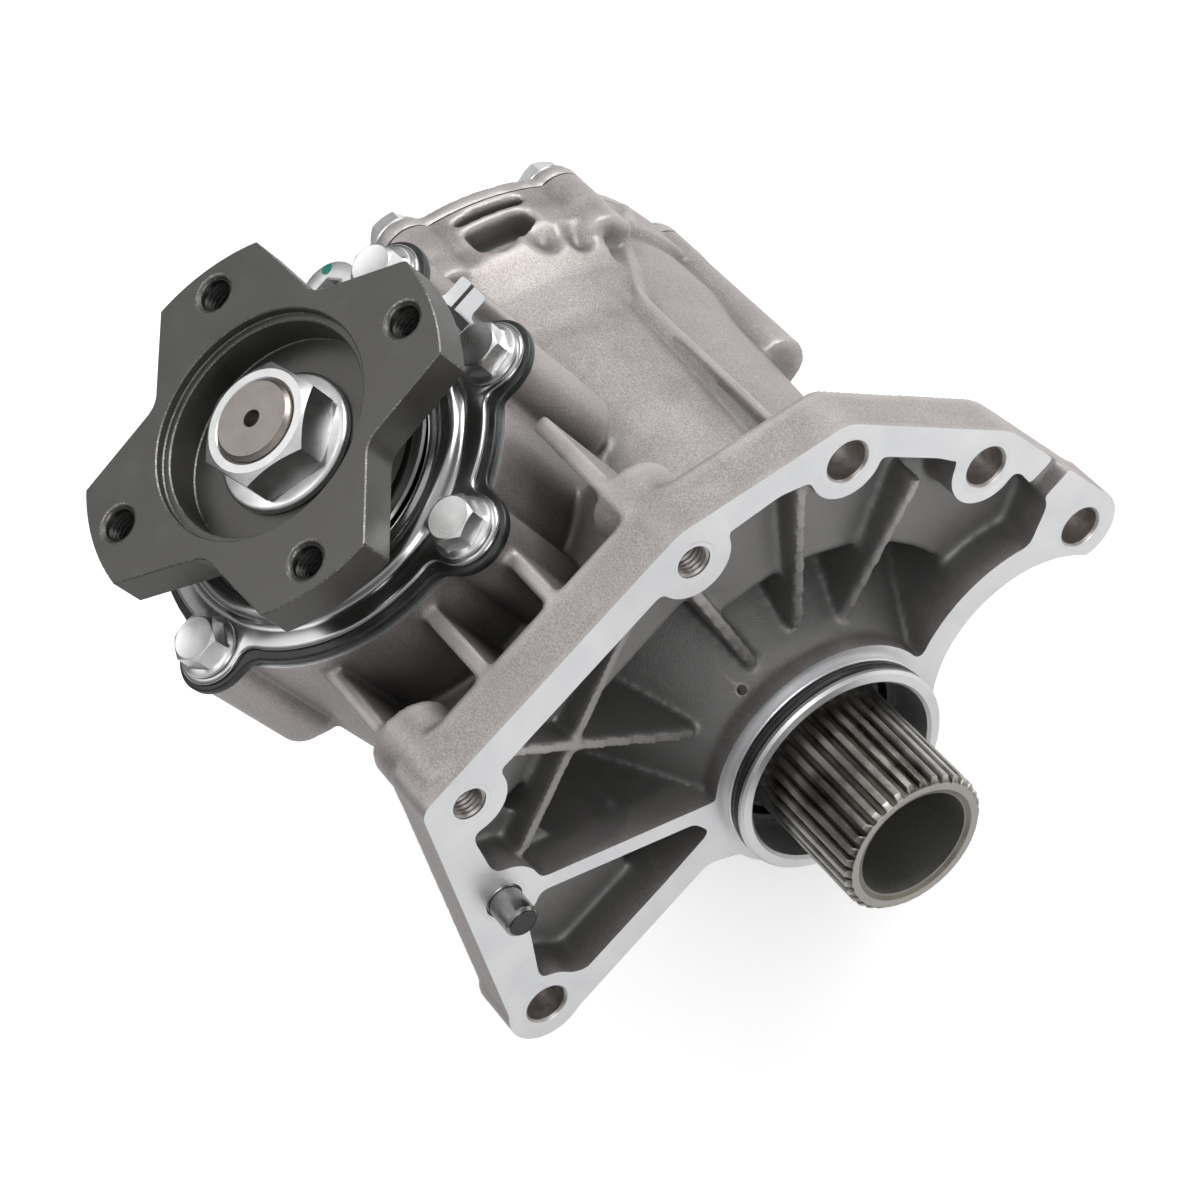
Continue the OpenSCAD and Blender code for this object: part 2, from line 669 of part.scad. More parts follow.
module pinion_tail_cup() {
    color(steel) at_tail_bearing() bearing_cup(tail_od, tail_rm, tail_rr, tail_w);
}
module pinion_tail_cone() {
    color(steel) at_tail_bearing() bearing_cone(tail_journal, tail_rm, tail_rr, tail_w);
}
module pinion_tail_rollers() {
    color(zinc) at_tail_bearing() bearing_rollers(tail_rm, tail_rr, tail_w);
}

module side_bearing_shim() {
    color(steel) along_x(-case_len - shim_t) ring(bearing_od - slip, bearing_od - 6, shim_t + 2);
}

module pinion_head_shim() {
    color(steel) translate(pinion_at + [0, 0, head_seat + head_w - 2])
        ring(head_od - slip, head_od - 5, shim_t + 2);
}

module halfshaft_seal() {
    color(rubber) along_x(-hub_end) oil_seal(32, 20, seal_w);
}

module retainer_gasket() {
    color(rubber) translate(pinion_at + [0, 0, retainer_z]) difference() {
        linear_extrude(gasket_t) retainer_outline(retainer_r, ear_r + 1.5);
        translate([0, 0, -cut]) cylinder(r = pinion_seal_od + retainer_t + 0.4, h = gasket_t + 2 * cut);
        for (a = retainer_angles) rotate(a) translate([retainer_pcr, 0, -cut])
            cylinder(d = bolt_hole_d, h = gasket_t + 2 * cut);
    }
}

module retainer_plate() {
    color(zinc) translate(pinion_at) difference() {
        union() {
            translate([0, 0, retainer_top]) linear_extrude(retainer_t)
                retainer_outline(retainer_r - 2.5, ear_r);
            // Collar that carries the seal, and the pressed bead round it
            translate([0, 0, seal_z])
                cylinder(r = pinion_seal_od + retainer_t, h = retainer_top - seal_z + cut);
            translate([0, 0, retainer_top + retainer_t]) rotate_extrude()
                translate([pinion_seal_od + 7, 0]) intersection() {
                    circle(r = bead_r, $fn = 32);
                    translate([-bead_r, -cut]) square([2 * bead_r, 2 * bead_r]);
                }
        }
        translate([0, 0, seal_z - cut]) cylinder(r = pinion_seal_od + slip, h = 20);
        for (a = retainer_angles) rotate(a) translate([retainer_pcr, 0, retainer_top - cut])
            cylinder(d = bolt_hole_d, h = retainer_t + 2 * cut);
    }
}

module retainer_bolts() {
    color(zinc) at_retainer_bolts(retainer_top + retainer_t) flange_bolt(gasket_t + retainer_t);
}

module pinion_seal() {
    color(rubber) translate(pinion_at + [0, 0, seal_z]) oil_seal(pinion_seal_od, hub_r + running, seal_w);
}

// Plug with a flat disc head and a hexagon socket, whose thread points along -Z, seated at z = 0
module plug(grip) {
    difference() {
        union() {
            cylinder(r = plug_r - 0.4, h = plug_head_t);
            translate([0, 0, -grip]) cylinder(r = plug_thread_r, h = grip + 1);
        }
        translate([0, 0, -1]) cylinder(r = plug_socket_r, h = plug_head_t + 1 + cut, $fn = 6);
    }
}

module plug_washer() {
    ring(plug_r, plug_thread_r + 0.1, plug_washer_t);
}

module filler_plug() {
    color(zinc) translate([filler_at[0], filler_at[1], filler_z + plug_washer_t]) plug(14);
}
module filler_washer() {
    color(zinc) translate([filler_at[0], filler_at[1], filler_z]) plug_washer();
}
module at_drain() {
    translate([drain_at[0], drain_y, drain_at[1]]) rotate([90, 0, 0]) children();
}
module drain_plug() {
    color(zinc) at_drain() translate([0, 0, plug_washer_t]) plug(12);
}
module drain_washer() {
    color(zinc) at_drain() plug_washer();
}
module sump_magnet() {
    color(steel) at_drain() translate([0, 0, plug_washer_t - 16]) cylinder(r = 3.5, h = 4);
}

module breather() {
    color(zinc) translate(breather_at) rotate([0, -90, 0]) {
        translate([0, 0, -12]) cylinder(r = 3, h = 16);
        cylinder(r = 5, h = 3, $fn = 6);
        translate([0, 0, 4]) cylinder(r = 7, h = 6);
    }
}

module splines(r, depth, n, h) {
    rotate_extrude() square([r - depth, h]);
    for (i = [0 : n - 1]) rotate(i * 360 / n) translate([r - depth - 0.4, 0, 0])
        linear_extrude(h) polygon([[0, -r * 0.056], [depth + 0.4, -r * 0.036],
            [depth + 0.4, r * 0.036], [0, r * 0.056]]);
}

module input_shaft() {
    spline_len = shaft_end + 2;
    color(steel) difference() {
        union() {
            intersection() {
                along_x(-2) splines(spline_r, spline_depth, spline_n, spline_len);
                along_x(-2) rotate_extrude() polygon([[0, 0], [spline_r, 0], [spline_r, spline_len - 1.5],
                    [spline_r - 1.5, spline_len], [0, spline_len]]);
            }
            along_x(-seat_front) cylinder(r = spline_r, h = seat_front - 2);
            along_x(-gear_flange_x - cut) cylinder(r = journal_r, h = gear_flange_x - seat_front + cut);
            along_x(-side_seat) cylinder(r = pipe_r, h = side_seat - gear_flange_x);
            along_x(-case_len - 3) cylinder(r = journal_r, h = bearing_w + 4);
        }
        along_x(-case_len - 4) cylinder(r = shaft_bore_r, h = case_len + shaft_end + 6);
        along_x(shaft_end - 1) cylinder(r1 = shaft_bore_r, r2 = shaft_bore_r + 2, h = 2);
    }
}

module gear_carrier() {
    sleeve = gear_flange_t + carrier_sleeve;
    color(steel) difference() {
        union() {
            along_x(-gear_back) cylinder(r = gear_flange_r, h = gear_flange_t);
            along_x(-gear_flange_x - sleeve) cylinder(r = ring_bore_r, h = sleeve);
        }
        along_x(-gear_flange_x - sleeve - cut) cylinder(r = pipe_r + slip, h = sleeve + 2 * cut);
        for (i = [0 : gear_bolt_n - 1]) rotate([i * 360 / gear_bolt_n, 0, 0])
            translate([-gear_back - cut, gear_bolt_pcr, 0]) rotate([0, 90, 0])
                cylinder(d = bolt_d + 0.2, h = gear_flange_t + 2 * cut);
    }
}

module ring_gear() {
    root_x = ring_tip_x - tooth_depth;
    inner_x = root_x + (ring_r - ring_inner_r) * ring_slope;
    tilt = atan(ring_slope * cos(ring_skew));
    color(steel) difference() {
        union() {
            along_x() rotate_extrude() polygon([[ring_bore_r + slip, -gear_back], [ring_r, -gear_back],
                [ring_r, -root_x], [ring_inner_r, -inner_x], [ring_bore_r + slip, -inner_x + 3]]);
            intersection() {
                for (i = [0 : ring_teeth - 1]) rotate([i * 360 / ring_teeth, 0, 0])
                    translate([-root_x - 0.5 * (ring_r - ring_inner_r) * ring_slope + 0.3,
                        (ring_r + ring_inner_r) / 2, 0])
                        rotate([-ring_skew, 0, 0]) rotate([0, 0, -tilt])
                            translate([-tooth_depth, -16, 0]) rotate([-90, 0, 0]) linear_extrude(32)
                                polygon([[0, -0.9], [tooth_depth + 0.6, -2.1], [tooth_depth + 0.6, 2.1], [0, 0.9]]);
                along_x(-120) ring(ring_r, ring_inner_r, 70);
            }
        }
        for (i = [0 : gear_bolt_n - 1]) rotate([i * 360 / gear_bolt_n, 0, 0])
            translate([-gear_back - 14, gear_bolt_pcr, 0]) rotate([0, 90, 0])
                cylinder(d = bolt_d + 2 * slip, h = 15);
    }
}

module ring_gear_bolts() {
    color(blackoxide) for (i = [0 : gear_bolt_n - 1]) rotate([i * 360 / gear_bolt_n, 0, 0])
        translate([-gear_flange_x, gear_bolt_pcr, 0]) rotate([0, 90, 0]) {
            cylinder(r = bolt_d * 0.85, h = 1);
            cylinder(d = bolt_d * 1.5 / cos(30), h = 5, $fn = 6);
            translate([0, 0, -gear_flange_t - 12]) cylinder(d = bolt_d, h = gear_flange_t + 12.5);
        }
}

module pinion_shaft() {
    small_r = pinion_tip_r * 0.7;
    tip_slope = (pinion_tip_r - small_r) / (head_back - head_z);
    color(steel) translate(pinion_at) difference() {
        union() {
            rotate_extrude() polygon([[0, head_z], [small_r - tooth_depth, head_z],
                [pinion_tip_r - tooth_depth, head_back], [21, head_back], [21, head_seat],
                [head_journal, head_seat], [head_journal, head_seat + head_w],
                [tail_journal, head_seat + head_w], [tail_journal, hub_z], [spline_neck_r, hub_z],
                [spline_neck_r, hub_floor_z - 2], [thread_r, hub_floor_z - 1], [thread_r, pinion_end - 1],
                [thread_r - 1, pinion_end], [0, pinion_end]]);
            // Teeth, trimmed by the tip cone
            intersection() {
                for (i = [0 : pinion_teeth - 1]) rotate(i * 360 / pinion_teeth)
                    translate([(small_r + pinion_tip_r) / 2 - tooth_depth - 0.3, 0, (head_z + head_back) / 2])
                        rotate([pinion_skew, 0, 0]) rotate([0, atan(tip_slope), 0])
                            translate([0, 0, -18]) linear_extrude(36)
                                polygon([[-1, -2], [tooth_depth + 2, -0.9], [tooth_depth + 2, 0.9], [-1, 2]]);
                rotate_extrude() polygon([[0, head_z], [small_r, head_z], [pinion_tip_r, head_back],
                    [0, head_back]]);
            }
            // Splines under the companion flange
            translate([0, 0, hub_z + 1]) splines(14.5, 1.2, 28, hub_floor_z - hub_z - 5);
        }
        translate([0, 0, pinion_end - 5]) cylinder(r = 2.6, h = 6, $fn = 24);
    }
}

module crush_spacer() {
    z0 = head_seat + head_w;
    color(steel) translate(pinion_at + [0, 0, z0]) rotate_extrude()
        polygon([[tail_journal + 0.1, 0], [tail_journal + 2.2, 0], [tail_journal + 3.6, (tail_seat - z0) / 2],
            [tail_journal + 2.2, tail_seat - z0], [tail_journal + 0.1, tail_seat - z0],
            [tail_journal + 1.4, (tail_seat - z0) / 2]]);
}

module lobe_outline() {
    tip = [flange_r + 2, 15.4];
    waist = [27.6, 27.6];
    intersection() {
        circle(r = flange_r);
        polygon(rounded([for (i = [0 : 3]) let (c = cos(90 * i), s = sin(90 * i))
            each [for (p = [[tip[0], -tip[1], 0], [tip[0], tip[1], 0], [waist[0], waist[1], 8]])
                [p[0] * c - p[1] * s, p[0] * s + p[1] * c, p[2]]]]));
    }
}

module companion_flange() {
    back_z = flange_z - flange_t;
    color(blackoxide) translate(pinion_at) difference() {
        union() {
            translate([0, 0, back_z]) linear_extrude(flange_t) rotate(flange_angle) lobe_outline();
            translate([0, 0, hub_floor_z - 6])
                cylinder(r1 = hub_r + 8, r2 = pilot_r + 4, h = back_z - hub_floor_z + 6.5);
            translate([0, 0, hub_z]) cylinder(r = hub_r, h = back_z - hub_z);
        }
        translate([0, 0, flange_z - pilot_depth]) cylinder(r = pilot_r, h = pilot_depth + cut);
        translate([0, 0, hub_floor_z]) cylinder(r = pilot_r - 2.3, h = flange_z - hub_floor_z + cut);
        translate([0, 0, hub_z - cut]) cylinder(r = 14.5 + 0.1, h = hub_floor_z - hub_z + 2 * cut);
        for (i = [0 : 3]) rotate(flange_angle + 90 * i) translate([flange_pcr, 0, 0]) {
            translate([0, 0, back_z - cut]) cylinder(d = flange_tap_d, h = flange_t + 2 * cut);
            translate([0, 0, flange_z - 1.4]) cylinder(d1 = flange_tap_d, d2 = 12.5, h = 1.6);
        }
    }
}

module dust_deflector() {
    z0 = retainer_top + retainer_t + 4.5;
    color(zinc) translate(pinion_at) difference() {
        union() {
            translate([0, 0, z0]) cylinder(r = pinion_seal_od + 2, h = 1.6);
            translate([0, 0, z0 - 4.5]) ring(pinion_seal_od - 1, pinion_seal_od - 2.6, 6);
            translate([0, 0, z0]) cylinder(r = hub_r + 2, h = 3.6);
        }
        translate([0, 0, z0 - 1]) cylinder(r = hub_r + slip, h = 8);
    }
}

module flange_washer() {
    color(zinc) translate(pinion_at + [0, 0, hub_floor_z]) ring(washer_r, thread_r + 0.3, washer_t);
}

module pinion_nut() {
    corner_r = nut_af / 2 / cos(30);
    color(zinc) translate(pinion_at + [0, 0, nut_z]) difference() {
        intersection() {
            rotate(12) cylinder(r = corner_r, h = nut_t, $fn = 6);
            rotate_extrude() polygon([[0, 0], [corner_r + 1, 0], [corner_r + 1, nut_t - 2.2],
                [nut_af / 2 - 0.7, nut_t], [0, nut_t]]);
        }
        translate([0, 0, -cut]) cylinder(r = thread_r + slip, h = nut_t + 2 * cut);
    }
}

main_case();
side_cover();
cover_sealant();
cover_bolts();
transaxle_dowel();
spigot_o_ring();
input_seal();
input_bearing_cup();
side_bearing_cup();
side_bearing_shim();
halfshaft_seal();
pinion_head_cup();
pinion_head_shim();
pinion_tail_cup();
retainer_gasket();
retainer_plate();
retainer_bolts();
pinion_seal();
filler_plug();
filler_washer();
drain_plug();
drain_washer();
sump_magnet();
breather();
input_shaft();
gear_carrier();
ring_gear();
ring_gear_bolts();
input_bearing_cone();
input_bearing_rollers();
side_bearing_cone();
side_bearing_rollers();
pinion_shaft();
pinion_head_cone();
pinion_head_rollers();
crush_spacer();
pinion_tail_cone();
pinion_tail_rollers();
companion_flange();
dust_deflector();
flange_washer();
pinion_nut();
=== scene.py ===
"""Looks of the transfer case: a die-cast housing that lies on a pale table, seen from its mounting face."""

import math

import bmesh
import bpy
import numpy as np
from mathutils import Matrix, Vector
from mathutils.bvhtree import BVHTree


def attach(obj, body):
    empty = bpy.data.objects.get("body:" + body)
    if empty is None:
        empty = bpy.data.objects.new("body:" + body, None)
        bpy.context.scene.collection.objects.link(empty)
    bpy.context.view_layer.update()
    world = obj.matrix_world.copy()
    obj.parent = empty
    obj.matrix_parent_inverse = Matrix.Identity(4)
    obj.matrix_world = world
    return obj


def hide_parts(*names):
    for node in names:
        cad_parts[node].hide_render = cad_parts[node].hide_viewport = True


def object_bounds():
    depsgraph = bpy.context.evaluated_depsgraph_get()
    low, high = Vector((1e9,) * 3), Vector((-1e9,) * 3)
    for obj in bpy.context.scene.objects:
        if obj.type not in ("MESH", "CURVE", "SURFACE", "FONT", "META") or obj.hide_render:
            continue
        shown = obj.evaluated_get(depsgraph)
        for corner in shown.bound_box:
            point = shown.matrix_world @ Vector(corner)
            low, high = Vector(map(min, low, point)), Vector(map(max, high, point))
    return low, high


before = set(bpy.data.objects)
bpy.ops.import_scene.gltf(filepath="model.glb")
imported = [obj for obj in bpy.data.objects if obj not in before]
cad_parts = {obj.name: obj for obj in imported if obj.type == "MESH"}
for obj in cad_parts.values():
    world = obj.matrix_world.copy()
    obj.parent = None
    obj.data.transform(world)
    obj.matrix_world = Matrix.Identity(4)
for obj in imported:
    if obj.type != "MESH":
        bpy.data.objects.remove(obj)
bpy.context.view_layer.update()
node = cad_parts
MM = 0.001


# ---- Cast housing ----
# One aluminium die casting carries everything. It is blasted after casting, so its skin is matt, with
# soft corners, and only its joint faces, spigot and bores are machined.

pinion_axis = np.array([-102.4, -32.0]) * MM
joint_x = 0.0
retainer_joint_z = 116.4 * MM
cover_joint_x = -182.0 * MM
spigot_bore_r = 29.4 * MM
screw_r = 6.0 * MM
core_r, major_r, pitch = 4.25 * MM, 5.0 * MM, 1.5 * MM
screw_holes = np.array([[65, 80.3], [88.3, 34.7], [94, -16.3], [-102.2, 17.8]]) * MM
tapped_holes = np.array([[-65.3, 101.3], [19.8, 99.5]]) * MM
dowel_at = np.array([-82.8, 63.3]) * MM
most_triangles = 190000

# Small cast forms on the barrel, unrolled at its radius, in millimetres: the parting ridge as (x, place round
# the barrel), and the dents as (x, place, half length, half width, depth)
barrel_r = 72
parting_path = [(-40, 46.9), (-114, 45.7), (-127, 44.9), (-139, 40), (-150, 35.6), (-158, 32), (-167, 26),
                (-175, 19.6), (-182, 16)]
shoulder_dents = [(-158.5, 60.0, 8.0, 7.0, 4.2), (-156.5, 50.6, 7.5, 6.0, 4.2)]


def new_piece(name, points, faces):
    """A mesh object from an array of points and an array of faces that all have the same number of corners."""
    mesh = bpy.data.meshes.new(name)
    corners = faces.shape[1]
    mesh.vertices.add(len(points))
    mesh.vertices.foreach_set("co", np.ascontiguousarray(points, np.float32).ravel())
    mesh.loops.add(faces.size)
    mesh.loops.foreach_set("vertex_index", np.ascontiguousarray(faces, np.int32).ravel())
    mesh.polygons.add(len(faces))
    mesh.polygons.foreach_set("loop_start", np.arange(len(faces), dtype=np.int32) * corners)
    mesh.update(calc_edges=True)
    mesh.validate()
    piece = bpy.data.objects.new(name, mesh)
    bpy.context.scene.collection.objects.link(piece)
    return piece


def read_values(items, label, width, kind=float):
    """What a mesh holds for its points, edges or faces, as an array with a row for each."""
    values = np.empty(len(items) * width, kind)
    items.foreach_get(label, values)
    return values.reshape(-1, width)


def joined_copy(source):
    """Points and triangles of a CAD node, with its loose triangles joined at the corners that they share."""
    work = bmesh.new()
    work.from_mesh(node[source].data)
    bmesh.ops.remove_doubles(work, verts=work.verts, dist=3e-6)
    mesh = bpy.data.meshes.new(source + "_joined")
    work.to_mesh(mesh)
    work.free()
    mesh.calc_loop_triangles()
    points = read_values(mesh.vertices, "co", 3)
    faces = read_values(mesh.loop_triangles, "vertices", 3, np.int32)
    bpy.data.meshes.remove(mesh)
    return points, faces


def settle(piece):
    """Puts what a piece's modifiers make of it into its mesh."""
    shape = bpy.data.meshes.new_from_object(piece.evaluated_get(bpy.context.evaluated_depsgraph_get()))
    piece.modifiers.clear()
    old, piece.data = piece.data, shape
    bpy.data.meshes.remove(old)


def widen(points, centre, axes, old_r, new_r):
    """Moves the wall of a bore outwards: a point at old_r from the bore's line goes to new_r, in place."""
    off = points[:, axes] - centre
    r = np.hypot(off[:, 0], off[:, 1])
    wall = np.abs(r - old_r) < 0.12 * MM
    points[np.ix_(wall, axes)] = centre + off[wall] * (new_r / r[wall])[:, None]


def neighbour_mean(values, edges, count):
    """For each point, the mean of the values at the points that an edge joins to it."""
    a, b = edges[:, 0], edges[:, 1]
    total = [np.bincount(a, v[b], len(count)) + np.bincount(b, v[a], len(count)) for v in values.T]
    return np.stack(total, 1) / count[:, None]


def blur(values, edges, count, rounds, share):
    """Values evened out over a mesh: each round mixes in that share of the neighbours' mean."""
    for _ in range(rounds):
        values = (1 - share) * values + share * neighbour_mean(values, edges, count)
    return values


def relax(points, edges, count, rounds, weight=1.0):
    """Soft corners: each point goes part of the way to its neighbours' mean, then a little more than that
    back out, so that corners round off while walls keep their thickness."""
    for factor in (0.55, -0.56) * rounds:
        points = points + factor * weight * (neighbour_mean(points, edges, count) - points)
    return points


def closed_in(co, normals, cell=3.0 * MM, reach=9.0 * MM):
    """How much wall stands round the air in front of each point, 0 for a free outer wall and 1 deep in a
    pocket. The points are evenly spaced, so their count per cell, blurred over the reach, measures the area of
    wall nearby; it is read one reach in front of the point, where the point's own wall counts for little."""
    low = co.min(0) - 4 * reach
    size = np.ceil((co.max(0) + 4 * reach - low) / cell).astype(int)
    spot = ((co - low) / cell).astype(int)
    wall = np.bincount(np.ravel_multi_index(spot.T, size), minlength=size.prod()).reshape(size).astype(float)
    waves = np.meshgrid(*(np.fft.fftfreq(n, cell) for n in size[:2]), np.fft.rfftfreq(size[2], cell),
                        indexing="ij")
    spread = np.exp(-2 * (math.pi * reach * 0.7) ** 2 * sum(w * w for w in waves))
    wall = np.fft.irfftn(np.fft.rfftn(wall) * spread, s=size, axes=(0, 1, 2))
    ahead = (co + normals * reach * 1.3 - low) / cell - 0.5
    base = np.floor(ahead).astype(int)
    part = ahead - base
    value = np.zeros(len(co))
    for corner in range(8):
        step = np.array([corner >> 2 & 1, corner >> 1 & 1, corner & 1])
        weight = np.prod(np.where(step, part, 1 - part), axis=1)
        value += weight * wall[tuple((base + step).T)]
    free, deep = np.percentile(value, [25, 97])
    return np.clip((value - free) / (deep - free), 0, 1)


def cast_skin(name, points, faces, voxel, cuts, softness, shading, extra=None, relief=None, cutter=None):
    """A casting: the solid is remeshed at an even cell size, its corners are relaxed for softness rounds, relief
    adds a small movement to the points, and then the joint planes are cut, each given as a point and the normal
    of the side that is milled away. extra is a number of further rounds and the function that says where they
    act. shading turns the mesh, its points and how closed in they are into painted shade on the skin. cutter is
    a closed piece that is taken away at the end."""
    piece = new_piece(name, points, faces)
    skin = piece.modifiers.new("skin", "REMESH")
    skin.mode = "VOXEL"
    skin.voxel_size = voxel
    settle(piece)
    mesh = piece.data
    co = read_values(mesh.vertices, "co", 3)
    edges = read_values(mesh.edges, "vertices", 2, np.int32)
    count = np.maximum(np.bincount(edges.ravel(), minlength=len(co)), 1)
    co = relax(co, edges, count, softness)
    if extra is not None:
        co = relax(co, edges, count, extra[0], extra[1](co)[:, None])
    mesh.vertices.foreach_set("co", co.ravel())
    mesh.update()
    if relief is not None:
        co = co + relief(co, read_values(mesh.vertex_normals, "vector", 3))
        mesh.vertices.foreach_set("co", co.ravel())
        mesh.update()
    # How far each point lies below its wider surroundings, and how closed in it is: these become painted shade in
    # the hollows and pockets, and a painted highlight on high edges
    normals = read_values(mesh.vertex_normals, "vector", 3)
    depth = ((blur(co, edges, count, 30, 0.7) - co) * normals).sum(1)[:, None]
    hollow = np.clip(blur(depth, edges, count, 4, 0.6) / (0.9 * MM), -1, 1)
    shade = blur(shading(mesh, co, closed_in(co, normals))[:, None], edges, count, 3, 0.6)
    for label, value in (("hollow", hollow), ("shade", shade)):
        held = mesh.attributes.new(label, "FLOAT", "POINT")
        held.data.foreach_set("value", value.astype(np.float32).ravel())
    work = bmesh.new()
    work.from_mesh(mesh)
    milled = set()
    for at, normal in cuts:
        parts = work.verts[:] + work.edges[:] + work.faces[:]
        cut = bmesh.ops.bisect_plane(work, geom=parts, dist=1e-7, plane_co=at, plane_no=normal,
                                     clear_outer=True)
        rim = [g for g in cut["geom_cut"] if isinstance(g, bmesh.types.BMEdge)]
        cap = bmesh.ops.triangle_fill(work, use_beauty=True, use_dissolve=False, edges=rim, normal=normal)
        milled |= {f for f in cap["geom"] if isinstance(f, bmesh.types.BMFace)}
    for face in milled:
        if face.is_valid:
            face.material_index = 1
    work.to_mesh(mesh)
    work.free()
    if cutter is not None:
        drill = piece.modifiers.new("drill", "BOOLEAN")
        drill.object = cutter
        settle(piece)
        mesh = piece.data
        bpy.data.objects.remove(cutter)
    mesh.calc_loop_triangles()
    if len(mesh.loop_triangles) > most_triangles:
        thin = piece.modifiers.new("thin", "DECIMATE")
        thin.ratio = most_triangles / len(mesh.loop_triangles)
        settle(piece)
        mesh = piece.data
    mesh.shade_smooth()
    mesh.set_sharp_from_angle(angle=math.radians(38))
    return piece


def case_shade(mesh, co, closed):
    """Painted shade: the pockets of the mounting face are painted dark grey from a few millimetres down, and
    elsewhere the skin gets painted shade where walls close in on it. A point is in a pocket if nothing
    stands between it and the mounting face, and the plate's rim stands round it on all four sides."""
    deepest, shallowest, rim_x, darkest_at = -50 * MM, -1.2 * MM, -6 * MM, 7
    sides = ((0, 1, 0), (0, -1, 0), (0, 0, 1), (0, 0, -1))
    tree = BVHTree.FromPolygons(co.tolist(), [tuple(face.vertices) for face in mesh.polygons])
    pocket = np.zeros(len(co))
    for i in np.nonzero((co[:, 0] > deepest) & (co[:, 0] < shallowest))[0]:
        x, y, z = co[i] + 0.5 * MM * np.array(mesh.vertices[i].normal)
        if tree.ray_cast((x, y, z), (1, 0, 0))[0] is None:
            pocket[i] = all(tree.ray_cast((rim_x, y, z), side)[0] is not None for side in sides)
    in_pocket = pocket * np.clip(-co[:, 0] / MM / darkest_at, 0, 1)
    return np.maximum(in_pocket, 0.8 * np.clip(closed * 1.25 - 0.08, 0, 1))


def case_relief(co, normals):
    """Movement of the small cast forms, straight out from the shaft line: the parting ridge that runs up the
    barrel and over the shoulder, and two dents in the shoulder's slope. They act on the outer wall only."""
    turn = np.arctan2(co[:, 2], co[:, 1]) * barrel_r * MM
    path = np.array(parting_path) * MM
    apart = np.full(len(co), 1.0)
    for (x0, t0), (x1, t1) in zip(path[:-1], path[1:]):
        x, t, dx, dt = co[:, 0] - x0, turn - t0, x1 - x0, t1 - t0
        along = np.clip((x * dx + t * dt) / (dx ** 2 + dt ** 2), 0, 1)
        apart = np.minimum(apart, np.hypot(x - along * dx, t - along * dt))
    out = co * (0, 1, 1)
    radius = np.linalg.norm(out, axis=1)
    out /= np.maximum(radius, 1e-6)[:, None]
    outer = np.clip(((normals * out).sum(1) + 0.3) / 0.3, 0, 1) * (radius > 60 * MM) * (co[:, 1] > 0)
    edge = np.clip((3.0 * MM - apart) / (1.9 * MM), 0, 1)
    height = 1.1 * MM * edge * edge * (3 - 2 * edge)
    for x, t, half_x, half_t, depth in shoulder_dents:
        away = ((co[:, 0] / MM - x) / half_x) ** 2 + ((turn / MM - t) / half_t) ** 2
        height -= depth * MM * np.clip(1 - away, 0, 1) ** 2
    return out * (height * outer)[:, None]


def case_flow(co):
    """Where the casting's big surfaces flow into each other: round the shoulder beside the pinion tube, over
    the bulge of the gear case and at the step inside the pockets, fading out over a few millimetres."""
    r = np.hypot(co[:, 1], co[:, 2]) / MM
    turn = np.degrees(np.arctan2(co[:, 2], co[:, 1]))
    x = co[:, 0] / MM
    tube = np.hypot(co[:, 0] - pinion_axis[0], co[:, 1] - pinion_axis[1]) / MM
    outside = np.clip((r - 67.5) / 2, 0, 1) * np.clip((tube - 58) / 6, 0, 1)
    along = np.clip((-x - 118) / 8, 0, 1) * np.clip((x + 181) / 5, 0, 1)
    around = np.clip((turn + 30) / 10, 0, 1) * np.clip((80 - turn) / 6, 0, 1)
    step = np.clip((-x - 10.6) / 1.2, 0, 1) * np.clip((x + 32) / 8, 0, 1)
    return np.maximum(outside * along * around, step * np.clip((r - 44) / 6, 0, 1) * (r < 67))


case_points, case_faces = joined_copy("main_case")
on_joint = np.abs(case_points[:, 0] - joint_x) < 0.02 * MM
on_retainer = np.abs(case_points[:, 2] - retainer_joint_z) < 0.02 * MM
on_cover = np.abs(case_points[:, 0] - cover_joint_x) < 0.02 * MM
widen(case_points, np.zeros(2), [1, 2], spigot_bore_r, 31 * MM)
for hole in screw_holes:
    widen(case_points, hole, [1, 2], screw_r, 7 * MM)
for hole in tapped_holes:
    widen(case_points, hole, [1, 2], core_r, 6 * MM)
widen(case_points, dowel_at, [1, 2], 5.32 * MM, 5.7 * MM)
milled_off = 3 * MM
case_points[on_joint, 0] += milled_off
case_points[on_retainer, 2] += milled_off
case_points[on_cover, 0] -= milled_off
case_cuts = [((0, 0, 0), (1, 0, 0)), ((0, 0, retainer_joint_z), (0, 0, 1)),
             ((cover_joint_x, 0, 0), (-1, 0, 0))]


